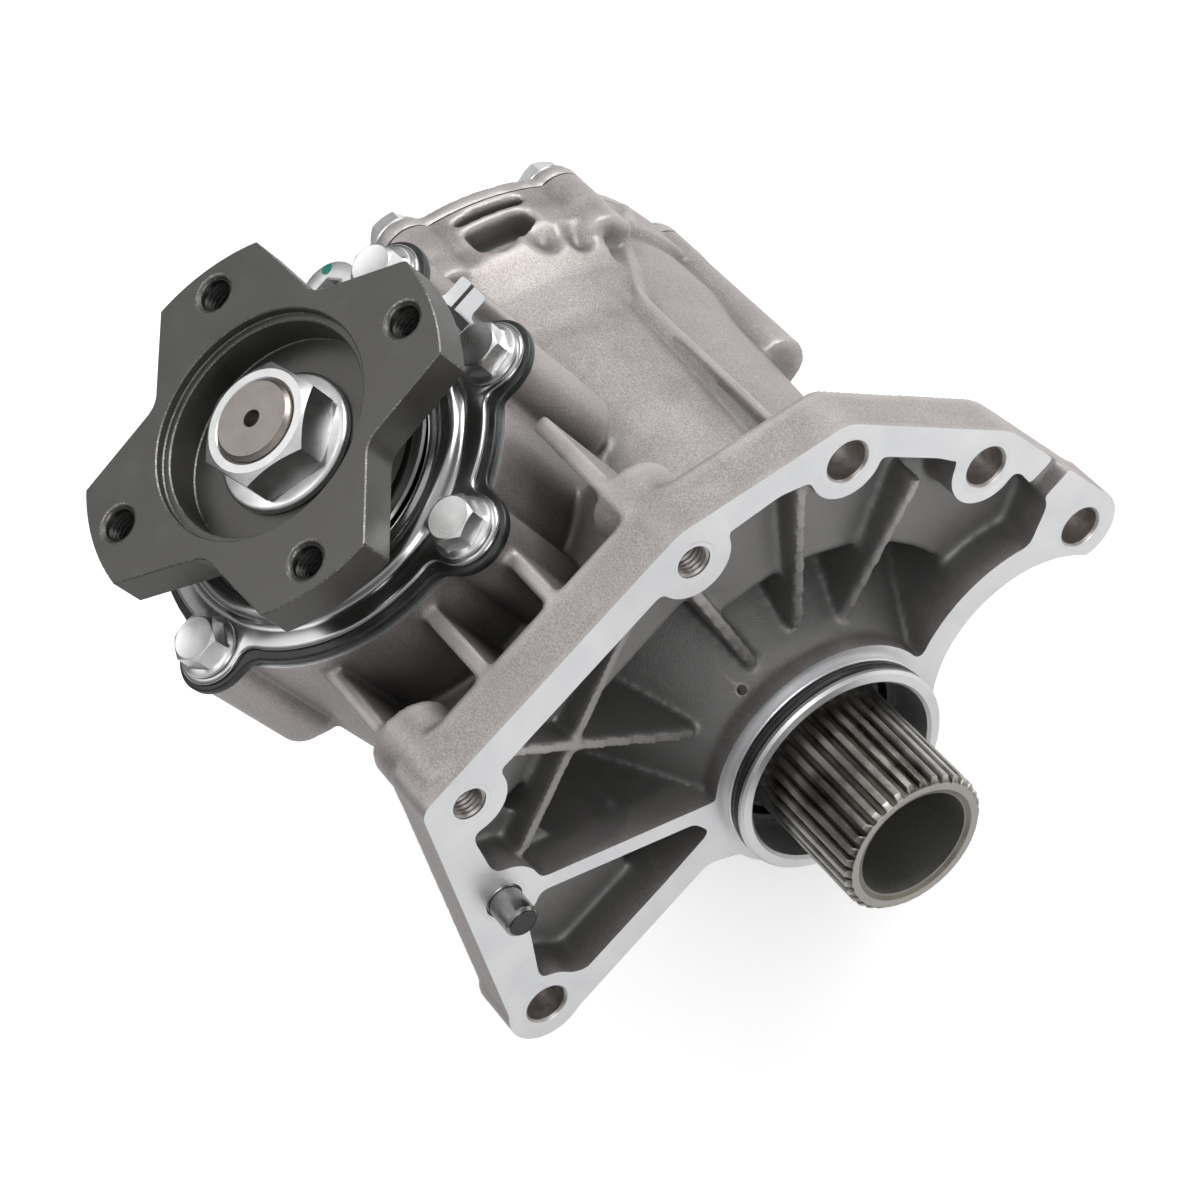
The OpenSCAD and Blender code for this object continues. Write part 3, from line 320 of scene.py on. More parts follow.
def oil_hole_and_groove():
    """What is taken out of the casting: a slanted round oil hole beside the spigot, as a prism round its line
    from 4 mm before its mouth to 6 mm behind it, and a box-shaped groove across the locating pad."""
    sides, radius, mouth = 24, 1.45, np.array([-7.9, -0.4, 38.1]) * MM
    line, across, upright = np.array([0.55, 0, 0.83]), np.array([0, 1, 0]), np.array([-0.83, 0, 0.55])
    a = np.linspace(0, 2 * math.pi, sides, endpoint=False)
    ring = (across * np.cos(a)[:, None] + upright * np.sin(a)[:, None]) * radius * MM + mouth
    low, high = np.array([-109.9, 15.0, 115.2]), np.array([-108.3, 36.0, 119.0])
    corners = [(0, 0, 0), (1, 0, 0), (1, 1, 0), (0, 1, 0), (0, 0, 1), (1, 0, 1), (1, 1, 1), (0, 1, 1)]
    points = np.vstack([ring + 4 * MM * line, ring - 6 * MM * line, np.where(corners, high, low) * MM])
    faces = [tuple(range(sides)), tuple(range(2 * sides - 1, sides - 1, -1))]
    faces += [(i, i + sides, (i + 1) % sides + sides, (i + 1) % sides) for i in range(sides)]
    box = ((3, 2, 1, 0), (4, 5, 6, 7), (0, 1, 5, 4), (1, 2, 6, 5), (2, 3, 7, 6), (3, 0, 4, 7))
    faces += [tuple(2 * sides + k for k in face) for face in box]
    mesh = bpy.data.meshes.new("oil_hole_and_pad_groove")
    mesh.from_pydata(points.tolist(), [], faces)
    piece = bpy.data.objects.new("oil_hole_and_pad_groove", mesh)
    bpy.context.scene.collection.objects.link(piece)
    return piece


housing = cast_skin("cast_housing", case_points, case_faces, voxel=1.05 * MM, cuts=case_cuts, softness=15,
                    shading=case_shade, extra=(45, case_flow), relief=case_relief,
                    cutter=oil_hole_and_groove())


def grain_group():
    """Fine grain and slow mottling: noise at two cell sizes, put out as Height and Patchy."""
    group = bpy.data.node_groups.new("blasted_grain", "ShaderNodeTree")
    group.interface.new_socket("Position", in_out="INPUT", socket_type="NodeSocketVector")
    for label in ("Cell", "Patch"):
        group.interface.new_socket(label, in_out="INPUT", socket_type="NodeSocketFloat")
    for label in ("Height", "Patchy"):
        group.interface.new_socket(label, in_out="OUTPUT", socket_type="NodeSocketFloat")
    come, go = group.nodes.new("NodeGroupInput"), group.nodes.new("NodeGroupOutput")
    fine, slow = group.nodes.new("ShaderNodeTexNoise"), group.nodes.new("ShaderNodeTexNoise")
    fine.inputs["Detail"].default_value = 3
    fine.inputs["Roughness"].default_value = 0.6
    slow.inputs["Detail"].default_value = 4
    slow.inputs["Distortion"].default_value = 0.6
    for noise, scale in ((fine, "Cell"), (slow, "Patch")):
        group.links.new(come.outputs["Position"], noise.inputs["Vector"])
        group.links.new(come.outputs[scale], noise.inputs["Scale"])
    group.links.new(fine.outputs["Fac"], go.inputs["Height"])
    group.links.new(slow.outputs["Fac"], go.inputs["Patchy"])
    return group


GRAIN = grain_group()


def new_finish(name, metallic):
    """An empty material: its Principled shader, its nodes and links, and the point on the object."""
    finish = bpy.data.materials.new(name)
    finish.use_nodes = True
    nodes, links = finish.node_tree.nodes, finish.node_tree.links
    shader = nodes["Principled BSDF"]
    shader.inputs["Metallic"].default_value = metallic
    where = nodes.new("ShaderNodeTexCoord").outputs["Object"]
    return finish, nodes, links, shader, where


def ramp(nodes, links, source, stops):
    """A colour ramp on a 0 to 1 value, with its stops as (place, colour)."""
    band = nodes.new("ShaderNodeValToRGB")
    while len(band.color_ramp.elements) < len(stops):
        band.color_ramp.elements.new(0.5)
    for element, (place, colour) in zip(band.color_ramp.elements, stops):
        element.position = place
        element.color = (*colour, 1)
    links.new(source, band.inputs["Fac"])
    return band.outputs["Color"]


def remap(nodes, links, source, low, high, to_low=0.0, to_high=1.0):
    """A value stretched from one range to another and held inside it."""
    scale = nodes.new("ShaderNodeMapRange")
    for label, value in (("From Min", low), ("From Max", high), ("To Min", to_low), ("To Max", to_high)):
        scale.inputs[label].default_value = value
    links.new(source, scale.inputs["Value"])
    return scale.outputs["Result"]


def blend_colour(nodes, links, mask, first, second, mode="MIX"):
    """Two colours or values mixed by a mask. Either may be a socket or a plain colour."""
    mix = nodes.new("ShaderNodeMix")
    mix.data_type = "RGBA"
    mix.blend_type = mode
    if isinstance(mask, float):
        mix.inputs["Factor"].default_value = mask
    else:
        links.new(mask, mix.inputs["Factor"])
    for label, value in (("A", first), ("B", second)):
        socket = [s for s in mix.inputs if s.name == label and s.type == "RGBA"][0]
        if isinstance(value, tuple):
            socket.default_value = (*value, 1)
        else:
            links.new(value, socket)
    return [s for s in mix.outputs if s.type == "RGBA"][0]


def roughen(nodes, links, shader, patchy, low, high, top=0.7):
    """Roughness that goes from low to high with the mottling."""
    links.new(remap(nodes, links, patchy, 0.3, top, low, high), shader.inputs["Roughness"])


def tool_marks(nodes, links, where, kind, direction, scale, distortion=0.0, centre=None):
    """The wave that a cutting tool leaves: RINGS or BANDS in a direction, and about a centre if one is given."""
    wave = nodes.new("ShaderNodeTexWave")
    wave.wave_type = kind
    if kind == "RINGS":
        wave.rings_direction = direction
    else:
        wave.bands_direction = direction
    wave.inputs["Scale"].default_value = scale
    wave.inputs["Distortion"].default_value = distortion
    if centre is not None:
        shift = nodes.new("ShaderNodeMapping")
        shift.inputs["Location"].default_value = [-v for v in centre]
        links.new(where, shift.inputs["Vector"])
        where = shift.outputs["Vector"]
    links.new(where, wave.inputs["Vector"])
    return wave.outputs["Fac"]


def bump(nodes, links, shader, height, distance, strength, under=None):
    """A bump of that height in metres, laid over another if one is given."""
    raised = nodes.new("ShaderNodeBump")
    raised.inputs["Distance"].default_value = distance
    raised.inputs["Strength"].default_value = strength
    links.new(height, raised.inputs["Height"])
    if under is not None:
        links.new(under, raised.inputs["Normal"])
    links.new(raised.outputs["Normal"], shader.inputs["Normal"])
    return raised.outputs["Normal"]


def grain(nodes, links, where, cell, patch):
    """The grain group placed in a material, at its own cell and patch scale per metre."""
    use = nodes.new("ShaderNodeGroup")
    use.node_tree = GRAIN
    use.inputs["Cell"].default_value = cell
    use.inputs["Patch"].default_value = patch
    links.new(where, use.inputs["Position"])
    return use.outputs["Height"], use.outputs["Patchy"]


def make_cast():
    """Blasted die casting: warm light grey and mottled, with painted shade in its hollows and pockets and a
    painted highlight on high edges.
    """
    finish, nodes, links, shader, where = new_finish("cast_aluminium", 0.72)
    height, patchy = grain(nodes, links, where, 1900, 70)
    colour = ramp(nodes, links, patchy, [(0.3, (0.45, 0.413, 0.400)), (0.55, (0.50, 0.462, 0.448)),
                                         (0.75, (0.55, 0.511, 0.497))])
    speck = remap(nodes, links, height, 0.35, 0.7)
    dull = blend_colour(nodes, links, 1.0, colour, (0.60, 0.60, 0.60), "MULTIPLY")
    colour = blend_colour(nodes, links, speck, dull, colour)
    hollow, pocket = nodes.new("ShaderNodeAttribute"), nodes.new("ShaderNodeAttribute")
    hollow.attribute_name, pocket.attribute_name = "hollow", "shade"
    # Painted shade in the hollows
    deep = remap(nodes, links, hollow.outputs["Fac"], 0.05, 0.95, 0.0, 0.62)
    colour = blend_colour(nodes, links, deep, colour, (0.145, 0.140, 0.134))
    # Painted highlight on high, outward edges
    high = remap(nodes, links, hollow.outputs["Fac"], -0.15, -0.9, 0.0, 0.45)
    colour = blend_colour(nodes, links, high, colour, (0.62, 0.585, 0.57))
    # Painted shade in the pockets and where walls close in
    shade = remap(nodes, links, pocket.outputs["Fac"], 0.04, 1.0, 0.0, 0.94)
    colour = blend_colour(nodes, links, shade, colour, (0.215, 0.213, 0.207))
    links.new(colour, shader.inputs["Base Color"])
    roughen(nodes, links, shader, patchy, 0.44, 0.56)
    soft = bump(nodes, links, shader, patchy, 0.35 * MM, 0.5)
    bump(nodes, links, shader, height, 0.12 * MM, 0.85, soft)
    return finish


def make_milled():
    """Milled aluminium: near white, with the faint overlapping arcs that a wide face cutter leaves."""
    finish, nodes, links, shader, where = new_finish("milled_aluminium", 0.9)
    height, patchy = grain(nodes, links, where, 2600, 45)
    arcs = tool_marks(nodes, links, where, "RINGS", "SPHERICAL", 420, 0.4, centre=(0, -0.16, 0.2))
    colour = ramp(nodes, links, patchy, [(0.3, (0.66, 0.665, 0.675)), (0.7, (0.77, 0.77, 0.775))])
    links.new(colour, shader.inputs["Base Color"])
    roughen(nodes, links, shader, patchy, 0.36, 0.46)
    lines = bump(nodes, links, shader, arcs, 0.012 * MM, 0.6)
    bump(nodes, links, shader, height, 0.012 * MM, 0.5, lines)
    return finish


def make_bored():
    """Drilled and tapped aluminium: duller and browner than the milled face it opens in, its darker tone painted
    shade in the holes, with a bright rim.
    """
    finish, nodes, links, shader, where = new_finish("bored_aluminium", 0.9)
    height, patchy = grain(nodes, links, where, 2200, 260)
    # The darker tone inside the holes is painted shade
    colour = ramp(nodes, links, patchy, [(0.3, (0.30, 0.27, 0.25)), (0.7, (0.55, 0.52, 0.50))])
    split = nodes.new("ShaderNodeSeparateXYZ")
    links.new(where, split.inputs["Vector"])
    rim = remap(nodes, links, split.outputs["X"], -0.3 * MM, -0.1 * MM)
    links.new(blend_colour(nodes, links, rim, colour, (0.71, 0.71, 0.715)), shader.inputs["Base Color"])
    roughen(nodes, links, shader, patchy, 0.34, 0.5)
    bump(nodes, links, shader, height, 0.03 * MM, 0.6)
    return finish


CAST = make_cast()
MILLED = make_milled()
BORED = make_bored()
for finish in (CAST, MILLED):
    housing.data.materials.append(finish)
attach(housing, "case")
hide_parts("main_case")


# ---- Turned bores of the mounting face ----
# The spigot, the four screw holes, the two tapped holes and the dowel's seat are machined into the casting.
# The spigot ring pilots in the transmission and carries an O-ring in its groove.


def turned(r, along, line, seam=True, turns=96, start=0.0):
    """A turned piece: row i of the surface is the curve at radius r[i] and distance along[i] on the line, as
    the angle goes round. r and along may also change with the angle. The line is a point, its direction and
    the direction where the angle is zero. seam closes the profile on itself; a row of radius zero is a pole."""
    r, along = np.atleast_2d(np.asarray(r, float).T).T, np.atleast_2d(np.asarray(along, float).T).T
    cols = max(r.shape[1], along.shape[1])
    cols = turns if cols == 1 else cols
    r, along = np.broadcast_arrays(r + np.zeros((1, cols)), along)
    a = start + np.linspace(0, 2 * math.pi, cols, endpoint=False)
    origin, direction, zero = (np.asarray(v, float) for v in line)
    side = np.cross(direction, zero)
    points = (origin + along[..., None] * direction
              + (r * np.cos(a))[..., None] * zero + (r * np.sin(a))[..., None] * side)
    rows = len(r)
    i, j = np.meshgrid(np.arange(rows if seam else rows - 1), np.arange(cols), indexing="ij")
    near, far = i * cols, (i + 1) % rows * cols
    faces = np.stack([near + j, near + (j + 1) % cols, far + (j + 1) % cols, far + j], -1).reshape(-1, 4)
    return points.reshape(-1, 3), faces


def closed_piece(name, parts, angle=32):
    """Several grids of points and faces as one piece, welded at poles and seams, with its faces turned out."""
    base = np.cumsum([0] + [len(p) for p, _ in parts[:-1]])
    faces = np.vstack([f + b for (_, f), b in zip(parts, base)])
    piece = new_piece(name, np.vstack([p for p, _ in parts]), faces)
    work = bmesh.new()
    work.from_mesh(piece.data)
    bmesh.ops.remove_doubles(work, verts=work.verts, dist=2e-7)
    bmesh.ops.dissolve_degenerate(work, edges=work.edges, dist=1e-7)
    bmesh.ops.recalc_face_normals(work, faces=work.faces)
    work.to_mesh(piece.data)
    work.free()
    piece.data.shade_smooth()
    piece.data.set_sharp_from_angle(angle=math.radians(angle))
    return piece


def turned_piece(name, rows, line, angle=32, **how):
    """A piece with one turned surface, from its rows of radii and distances. how goes on to turned()."""
    return closed_piece(name, [turned(*rows, line, **how)], angle)


def line_x(y, z):
    """The line along +X through a point of the mounting face."""
    return (0, y, z), (1, 0, 0), (0, 1, 0)


def profile(*points):
    """A profile given as (distance along, radius) in millimetres, as two arrays in metres."""
    p = np.array(points, float) * MM
    return p[:, 1], p[:, 0]


spigot_profile = profile((-18.4, 32.4), (-0.7, 32.4), (-0.7, 33.6), (1.75, 33.6), (2.08, 33.25), (2.08, 30.36),
                         (5.92, 30.36), (5.92, 33.25), (6.2, 33.6), (7.2, 33.6), (8.0, 32.8), (8.0, 30.3),
                         (7.1, 29.4), (-17.6, 29.4), (-17.6, 26.0), (-18.4, 26.0))
through_profile = profile((-17.65, 8.2), (0.015, 8.2), (0.015, 6.75), (-0.75, 6.0), (-17.0, 6.0), (-17.65, 6.6))
spigot = turned_piece("turned_spigot", spigot_profile, line_x(0, 0), turns=180)
bore_parts = [turned(*through_profile, line_x(*hole)) for hole in screw_holes]


def thread(line, mouth, depth, outer):
    """An M10 tapped hole: the wall's radius swings between the core and major radius as a triangle wave of the
    distance along the hole minus the turned angle, so the crests climb like a screw. It starts below a
    countersink, and the piece is a sleeve of the outer radius."""
    turns, steps_per_pitch, lip = 48, 10, mouth + 0.015 * MM
    x = mouth - np.linspace(0.9 * MM, depth, int(depth / pitch * steps_per_pitch))[:, None]
    a = np.linspace(0, 1, turns, endpoint=False)[None]
    wall = core_r + (major_r - core_r) * np.abs((x / pitch - a) % 1 * 2 - 1)
    sleeve, sink = np.full((1, turns), outer), np.full((1, turns), outer - 0.45 * MM)
    rows_r = np.vstack([sleeve, sleeve, sink, wall, sleeve])
    rows_x = np.vstack([[[mouth - depth], [lip], [lip]], x, [[mouth - depth]]]) + np.zeros((1, turns))
    return turned(rows_r, rows_x, line)


bore_parts += [thread(line_x(*hole), 0.0, 24 * MM, 6.6 * MM) for hole in tapped_holes]
dowel_seat = profile((-0.9, 6.9), (0.015, 6.9), (0.015, 5.9), (-0.6, 5.36), (-13, 5.36), (-13, 6.0),
                     (-0.9, 6.0))
bore_parts += [turned(*dowel_seat, line_x(*dowel_at))]
bores = closed_piece("machined_bores", bore_parts)
for piece, finish in ((spigot, MILLED), (bores, BORED)):
    piece.data.materials.append(finish)
    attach(piece, "case")
    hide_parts("main_case")


# ---- O-ring and shaft seal of the spigot ----
# A black nitrile ring in the spigot's groove, and a lip seal with its garter spring pressed in behind it.

ring_a = np.linspace(0, 2 * math.pi, 20, endpoint=False)
ring_rows = (31.98 + 1.6 * np.cos(ring_a)) * MM, (4.0 + 1.6 * np.sin(ring_a)) * MM
o_ring = turned_piece("spigot_o_ring", ring_rows, line_x(0, 0), turns=160)


def seal_profile(out, lip, width):
    """A lip seal's section: steel-backed rim, flat web, then a lip that narrows to its contact edge, with the
    round garter spring in a hollow behind it. Distances run from the seal's inner side to its outer side."""
    return profile((0, out), (width, out), (width, out - 1.2), (width - 0.5, out - 2.2), (3.0, out - 2.6),
                   (2.6, lip + 4.2), (3.4, lip + 3.2), (width - 2.2, lip + 3.0), (width - 1.2, lip + 2.4),
                   (width - 1.3, lip + 1.0), (width - 2.6, lip + 0.05), (1.2, lip + 1.4), (0, lip + 2.2))


# The input seal stands on the spigot's inner ledge, 0.8 mm further out than in the CAD
input_seal_line = (-18.4 * MM + 0.8 * MM, 0, 0), (1, 0, 0), (0, 1, 0)
half_seal_line = (-189 * MM, 0, 0), (-1, 0, 0), (0, 1, 0)
input_seal = turned_piece("input_shaft_seal", seal_profile(29.38, 22.56, 9), input_seal_line, turns=144)
half_seal = turned_piece("half_shaft_seal", seal_profile(31.98, 20, 9), half_seal_line, turns=144)


def make_rubber():
    """Moulded black rubber: nearly black, semi-matt, with a bloom of grey in patches."""
    finish, nodes, links, shader, where = new_finish("black_rubber", 0.0)
    height, patchy = grain(nodes, links, where, 3200, 160)
    colour = ramp(nodes, links, patchy, [(0.35, (0.010, 0.010, 0.011)), (0.7, (0.028, 0.028, 0.030))])
    links.new(colour, shader.inputs["Base Color"])
    roughen(nodes, links, shader, patchy, 0.30, 0.42)
    bump(nodes, links, shader, height, 0.012 * MM, 0.5)
    return finish


RUBBER = make_rubber()
for piece, source in ((o_ring, "spigot_o_ring"), (input_seal, "input_seal"), (half_seal, "halfshaft_seal")):
    piece.data.materials.append(RUBBER)
    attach(piece, "case")
    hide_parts(source)


# ---- Hollow input shaft ----
# A case-hardened steel tube. Its spline plugs into the transmission's differential; the grooves are rolled,
# so they have round roots, and the crests are ground and brighter than the oily grooves.

spline_n, spline_tip, spline_root = 34, 22.5 * MM, 20.85 * MM
spline_cols = spline_n * 14


def spline_radius(x):
    """Radius over the splined end: a flat crest, steep flanks and a round root, repeated round the shaft. The
    root rises to the crest where the groove runs out near the seal, and the end is chamfered."""
    a = np.linspace(0, spline_n, spline_cols, endpoint=False)[None] % 1
    flank = np.clip((np.abs(a - 0.5) - 0.20) / 0.15, 0, 1)
    shape = 1 - flank * flank * (3 - 2 * flank)
    run_out = np.clip((x - 1.0 * MM) / (7 * MM), 0, 1)[:, None] ** 0.5
    r = spline_tip - (spline_tip - spline_root) * (1 - shape) * run_out
    return np.minimum(r, (spline_tip - 1.6 * MM + (42.3 * MM - x))[:, None])


spline_x = np.concatenate([np.linspace(0, 9, 12), np.linspace(11, 40.2, 9), np.linspace(40.7, 42.3, 6)]) * MM
spline_rows = spline_radius(spline_x)
tube_r, tube_x = profile((42.3, 18.9), (41.3, 17.0), (-185, 17.0), (-185, 23.2), (-184.2, 24.0), (-164, 24.0),
                         (-164, 26.0), (-50, 26.0), (-50, 24.0), (-22.0, 24.0), (-21.4, 22.5), (-0.4, 22.5))
shaft_r = np.vstack([spline_rows, tube_r[:, None] + np.zeros((1, spline_cols))])
shaft_x = np.vstack([spline_x[:, None], tube_x[:, None]]) + np.zeros((1, spline_cols))
shaft = turned_piece("input_shaft_tube", (shaft_r, shaft_x), line_x(0, 0), 40)


def make_shaft_steel():
    """Oily hardened steel: crests are bright, the grooves hold dark brown oil film, with rusty freckles and
    rings left by turning."""
    finish, nodes, links, shader, where = new_finish("oiled_steel", 1.0)
    height, patchy = grain(nodes, links, where, 1500, 120)
    split = nodes.new("ShaderNodeSeparateXYZ")
    links.new(where, split.inputs["Vector"])
    radial = nodes.new("ShaderNodeVectorMath")
    radial.operation = "LENGTH"
    flat = nodes.new("ShaderNodeCombineXYZ")
    links.new(split.outputs["Y"], flat.inputs["Y"])
    links.new(split.outputs["Z"], flat.inputs["Z"])
    links.new(flat.outputs["Vector"], radial.inputs[0])
    crest = remap(nodes, links, radial.outputs["Value"], 21.2 * MM, 22.3 * MM)
    metal = ramp(nodes, links, patchy, [(0.3, (0.34, 0.32, 0.295)), (0.5, (0.48, 0.465, 0.44)),
                                        (0.72, (0.60, 0.59, 0.57))])
    oily = blend_colour(nodes, links, 1.0, metal, (0.36, 0.34, 0.30), "MULTIPLY")
    colour = blend_colour(nodes, links, crest, oily, metal)
    bore = remap(nodes, links, radial.outputs["Value"], 17.6 * MM, 17.1 * MM)
    colour = blend_colour(nodes, links, bore, colour, (0.30, 0.295, 0.285))
    end = remap(nodes, links, split.outputs["X"], 42.1 * MM, 42.25 * MM)
    colour = blend_colour(nodes, links, end, colour, (0.36, 0.345, 0.325))
    fleck = remap(nodes, links, height, 0.62, 0.75)
    colour = blend_colour(nodes, links, fleck, colour, (0.10, 0.07, 0.045))
    links.new(colour, shader.inputs["Base Color"])
    smooth = remap(nodes, links, patchy, 0.3, 0.7, 0.26, 0.42)
    links.new(blend_colour(nodes, links, bore, smooth, (0.62, 0.62, 0.62)), shader.inputs["Roughness"])
    rings = tool_marks(nodes, links, where, "BANDS", "X", 900, 1.5)
    under = bump(nodes, links, shader, rings, 0.01 * MM, 0.5)
    bump(nodes, links, shader, height, 0.03 * MM, 0.5, under)
    return finish


OILED = make_shaft_steel()
shaft.data.materials.append(OILED)
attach(shaft, "input_shaft_assembly")
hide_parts("input_shaft")


# ---- Dowel of the mounting face ----
# A ground steel pin pressed in beside the small pocket. It finds the transmission before the screws do.

dowel_profile = profile((-13, 0), (-13, 5.3), (-0.3, 5.3), (0, 5.0), (8.9, 5.0), (9.1, 4.9), (10.0, 4.0),
                        (10.0, 3.8), (9.9, 3.6), (9.85, 0))
dowel = turned_piece("ground_dowel", dowel_profile, line_x(*dowel_at), 24, seam=False, turns=64)


def make_ground():
    """Ground steel: a fine even grain under slow changes of tone. Beyond 9.7 mm along x, where only the dowel's
    end lies, it is dark."""
    finish, nodes, links, shader, where = new_finish("ground_steel", 1.0)
    height, patchy = grain(nodes, links, where, 2400, 150)
    colour = ramp(nodes, links, patchy, [(0.3, (0.30, 0.295, 0.29)), (0.7, (0.36, 0.355, 0.35))])
    split = nodes.new("ShaderNodeSeparateXYZ")
    links.new(where, split.inputs["Vector"])
    end = remap(nodes, links, split.outputs["X"], 9.7 * MM, 9.8 * MM)
    links.new(blend_colour(nodes, links, end, colour, (0.055, 0.055, 0.054)), shader.inputs["Base Color"])
    roughen(nodes, links, shader, patchy, 0.24, 0.30)
    bump(nodes, links, shader, height, 0.012 * MM, 0.5)
    return finish


GROUND = make_ground()
dowel.data.materials.append(GROUND)
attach(dowel, "case")
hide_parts("transaxle_dowel")


# ---- Retainer and gasket of the pinion ----
# A pressed steel plate with a raised bead holds the pinion seal. A black moulded gasket lies under it, and
# both run out into an ear round each bolt.

retainer_angles = np.radians([17.4, 69.5, 121, 175, 230, 285])
retainer_bolt_r = 57.4 * MM
pinion_line = ((*pinion_axis, 0), (0, 0, 1), (1, 0, 0))


def eared_outline(base_r, ear_r, melt, cols):
    """Radius of a round plate with ears, at each angle: the place where a ray from the centre leaves the
    smooth union of the base circle and the ear circles. The union's distance is the lower of two distances,
    less a quarter of the blend width times the square of how nearly equal they are."""
    a = np.linspace(0, 2 * math.pi, cols, endpoint=False)
    r = np.linspace(base_r - melt, retainer_bolt_r + ear_r + melt, 500)[:, None]
    x, y = r * np.cos(a), r * np.sin(a)
    field = np.hypot(x, y) - base_r
    for e in retainer_angles:
        ear = np.hypot(x - retainer_bolt_r * math.cos(e), y - retainer_bolt_r * math.sin(e)) - ear_r
        near = np.maximum(melt - np.abs(field - ear), 0) / melt
        field = np.minimum(field, ear) - near * near * melt / 4
    last = np.minimum(len(r) - 1 - np.argmax(field[::-1] < 0, axis=0), len(r) - 2)
    j = np.arange(cols)
    inside, outside = field[last, j], field[last + 1, j]
    return r[last, 0] + (r[last + 1, 0] - r[last, 0]) * (-inside / np.maximum(outside - inside, 1e-12))


plate_cols = 720
plate_edge = eared_outline(53.5 * MM, 10.4 * MM, 5 * MM, plate_cols)
gasket_edge = eared_outline(56.0 * MM, 11.9 * MM, 6 * MM, plate_cols)


def plate_rows(rows, edge):
    """Rows of a pressed plate: each row is (radius or inset from the edge, height) in millimetres, and an
    inset, written negative, follows the eared edge."""
    r = np.stack([edge + q[0] * MM if q[0] < 0 else np.full(plate_cols, q[0] * MM) for q in rows])
    h = np.array([[q[1] * MM] for q in rows]) + np.zeros((1, plate_cols))
    return r, h


bead_angles = np.radians([165, 145, 120, 95, 70, 45, 25, 12])
bead = [(43 + 3.7 * math.cos(t), 121 + 3.1 * math.sin(t)) for t in bead_angles]
retainer_rows = [(36.1, 110.4), (36.1, 121.9), (36.5, 122.2), (37.6, 122.0), (38.2, 121.2), (38.9, 121.0), *bead,
                 (47.4, 121.05), (48.6, 121.0), (-1.2, 121.0), (-0.5, 120.85), (-0.1, 120.4), (-1e-6, 119.9),
                 (-0.3, 119.4), (37.7, 119.4), (37.7, 110.4)]
retainer = turned_piece("pressed_retainer", plate_rows(retainer_rows, plate_edge), pinion_line, 50)
gasket_rows = [(38.2, 116.45), (38.2, 119.36), (-0.7, 119.36), (-0.25, 119.2), (-1e-6, 118.8), (-1e-6, 117.1),
               (-0.4, 116.45)]
gasket = turned_piece("moulded_gasket", plate_rows(gasket_rows, gasket_edge), pinion_line, 50)


def make_pressed():
    """Bright pressed steel: mirror-like, with a faint drawn haze, light scuffs and a little dirt in patches."""
    finish, nodes, links, shader, where = new_finish("bright_steel", 1.0)
    height, patchy = grain(nodes, links, where, 900, 60)
    colour = ramp(nodes, links, patchy, [(0.3, (0.42, 0.425, 0.42)), (0.7, (0.52, 0.525, 0.52))])
    links.new(colour, shader.inputs["Base Color"])
    roughen(nodes, links, shader, patchy, 0.19, 0.27, top=0.75)
    bump(nodes, links, shader, height, 0.006 * MM, 0.3)
    return finish


PRESSED = make_pressed()
retainer.data.materials.append(PRESSED)
gasket.data.materials.append(RUBBER)
for piece, source, slot in ((retainer, "retainer_plate", "bright_steel"),
                            (gasket, "retainer_gasket", "black_rubber")):
    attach(piece, "case")
    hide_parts(source)


# ---- Hexagon flange bolts ----
# M8 bolts with a forged hexagon and flange, zinc plated. Six hold the retainer and nine the side cover.

hex_cols = 96


def hex_radius(half_flats, cols=hex_cols):
    """Radius of a hexagon at each angle: half the width across flats over the cosine of the angle to the
    nearest flat's middle."""
    a = np.linspace(0, 2 * math.pi, cols, endpoint=False)
    return half_flats / np.cos((a + math.pi / 6) % (math.pi / 3) - math.pi / 6)


def rows_at(rows, cols=hex_cols):
    """Rows of (radius, height) in millimetres as two arrays in metres. Each is a number, or an array with a
    value for each angle."""
    return [np.stack([np.broadcast_to(row[k], cols) for row in rows]) * MM for k in (0, 1)]


def hex_top(r, half_flats, height):
    """Rows that end a hexagon: its sides stop where a chamfer cone cuts them, and the flat top, with a shallow
    dish, is the circle inside the cone."""
    slope, rim, dish = 0.55, half_flats * 0.94, height - 0.22
    return [(r, height - np.maximum(r - rim, 0) * slope), (rim, height), (rim * 0.92, height - 0.05),
            (rim * 0.3, dish), (0, dish)]


def flange_bolt(line, reach, twist):
    """One bolt along a line that leaves the joint: shank, washer flange with a rounded rim, and hexagon."""
    hexagon = hex_radius(6.4)
    shank = [(0, -reach), (3.6, -reach), (4.0, -reach + 0.4), (4.0, 0)]
    washer_flange = [(8.3, 0), (8.85, 0.25), (8.96, 0.7), (8.75, 1.15), (8.2, 1.45)]
    sides = [(hexagon + 0.5, 1.75), (hexagon + 0.08, 2.2), (hexagon, 2.9)]
    rows = rows_at(shank + washer_flange + sides + hex_top(hexagon, 6.4, 7.6))
    return turned(*rows, line, seam=False, start=twist)


def retainer_bolt_line(a):
    """The line of the retainer bolt at an angle round the pinion, from the plate's top."""
    x, y = pinion_axis[0] + retainer_bolt_r * math.cos(a), pinion_axis[1] + retainer_bolt_r * math.sin(a)
    return (x, y, 121.02 * MM), (0, 0, 1), (1, 0, 0)


retainer_twists = 0.35, 0.15, 0.7, 0.2, 0.5, 0.05
retainer_bolts = closed_piece("retainer_flange_bolts", [
    flange_bolt(retainer_bolt_line(a), 18.6, twist) for a, twist in zip(retainer_angles, retainer_twists)], 28)
cover_angles = np.radians(-8 + 40 * np.arange(9))
cover_bolt_r = np.array([71.5, 74.7, 74.7, 71.5, 71.5, 71.5, 71.5, 71.5, 71.5]) * MM
cover_bolts = closed_piece("cover_flange_bolts", [
    flange_bolt(((-188.02 * MM, r * math.cos(a), r * math.sin(a)), (-1, 0, 0), (0, 1, 0)), 20, 0.4 * i)
    for i, (a, r) in enumerate(zip(cover_angles, cover_bolt_r))], 28)


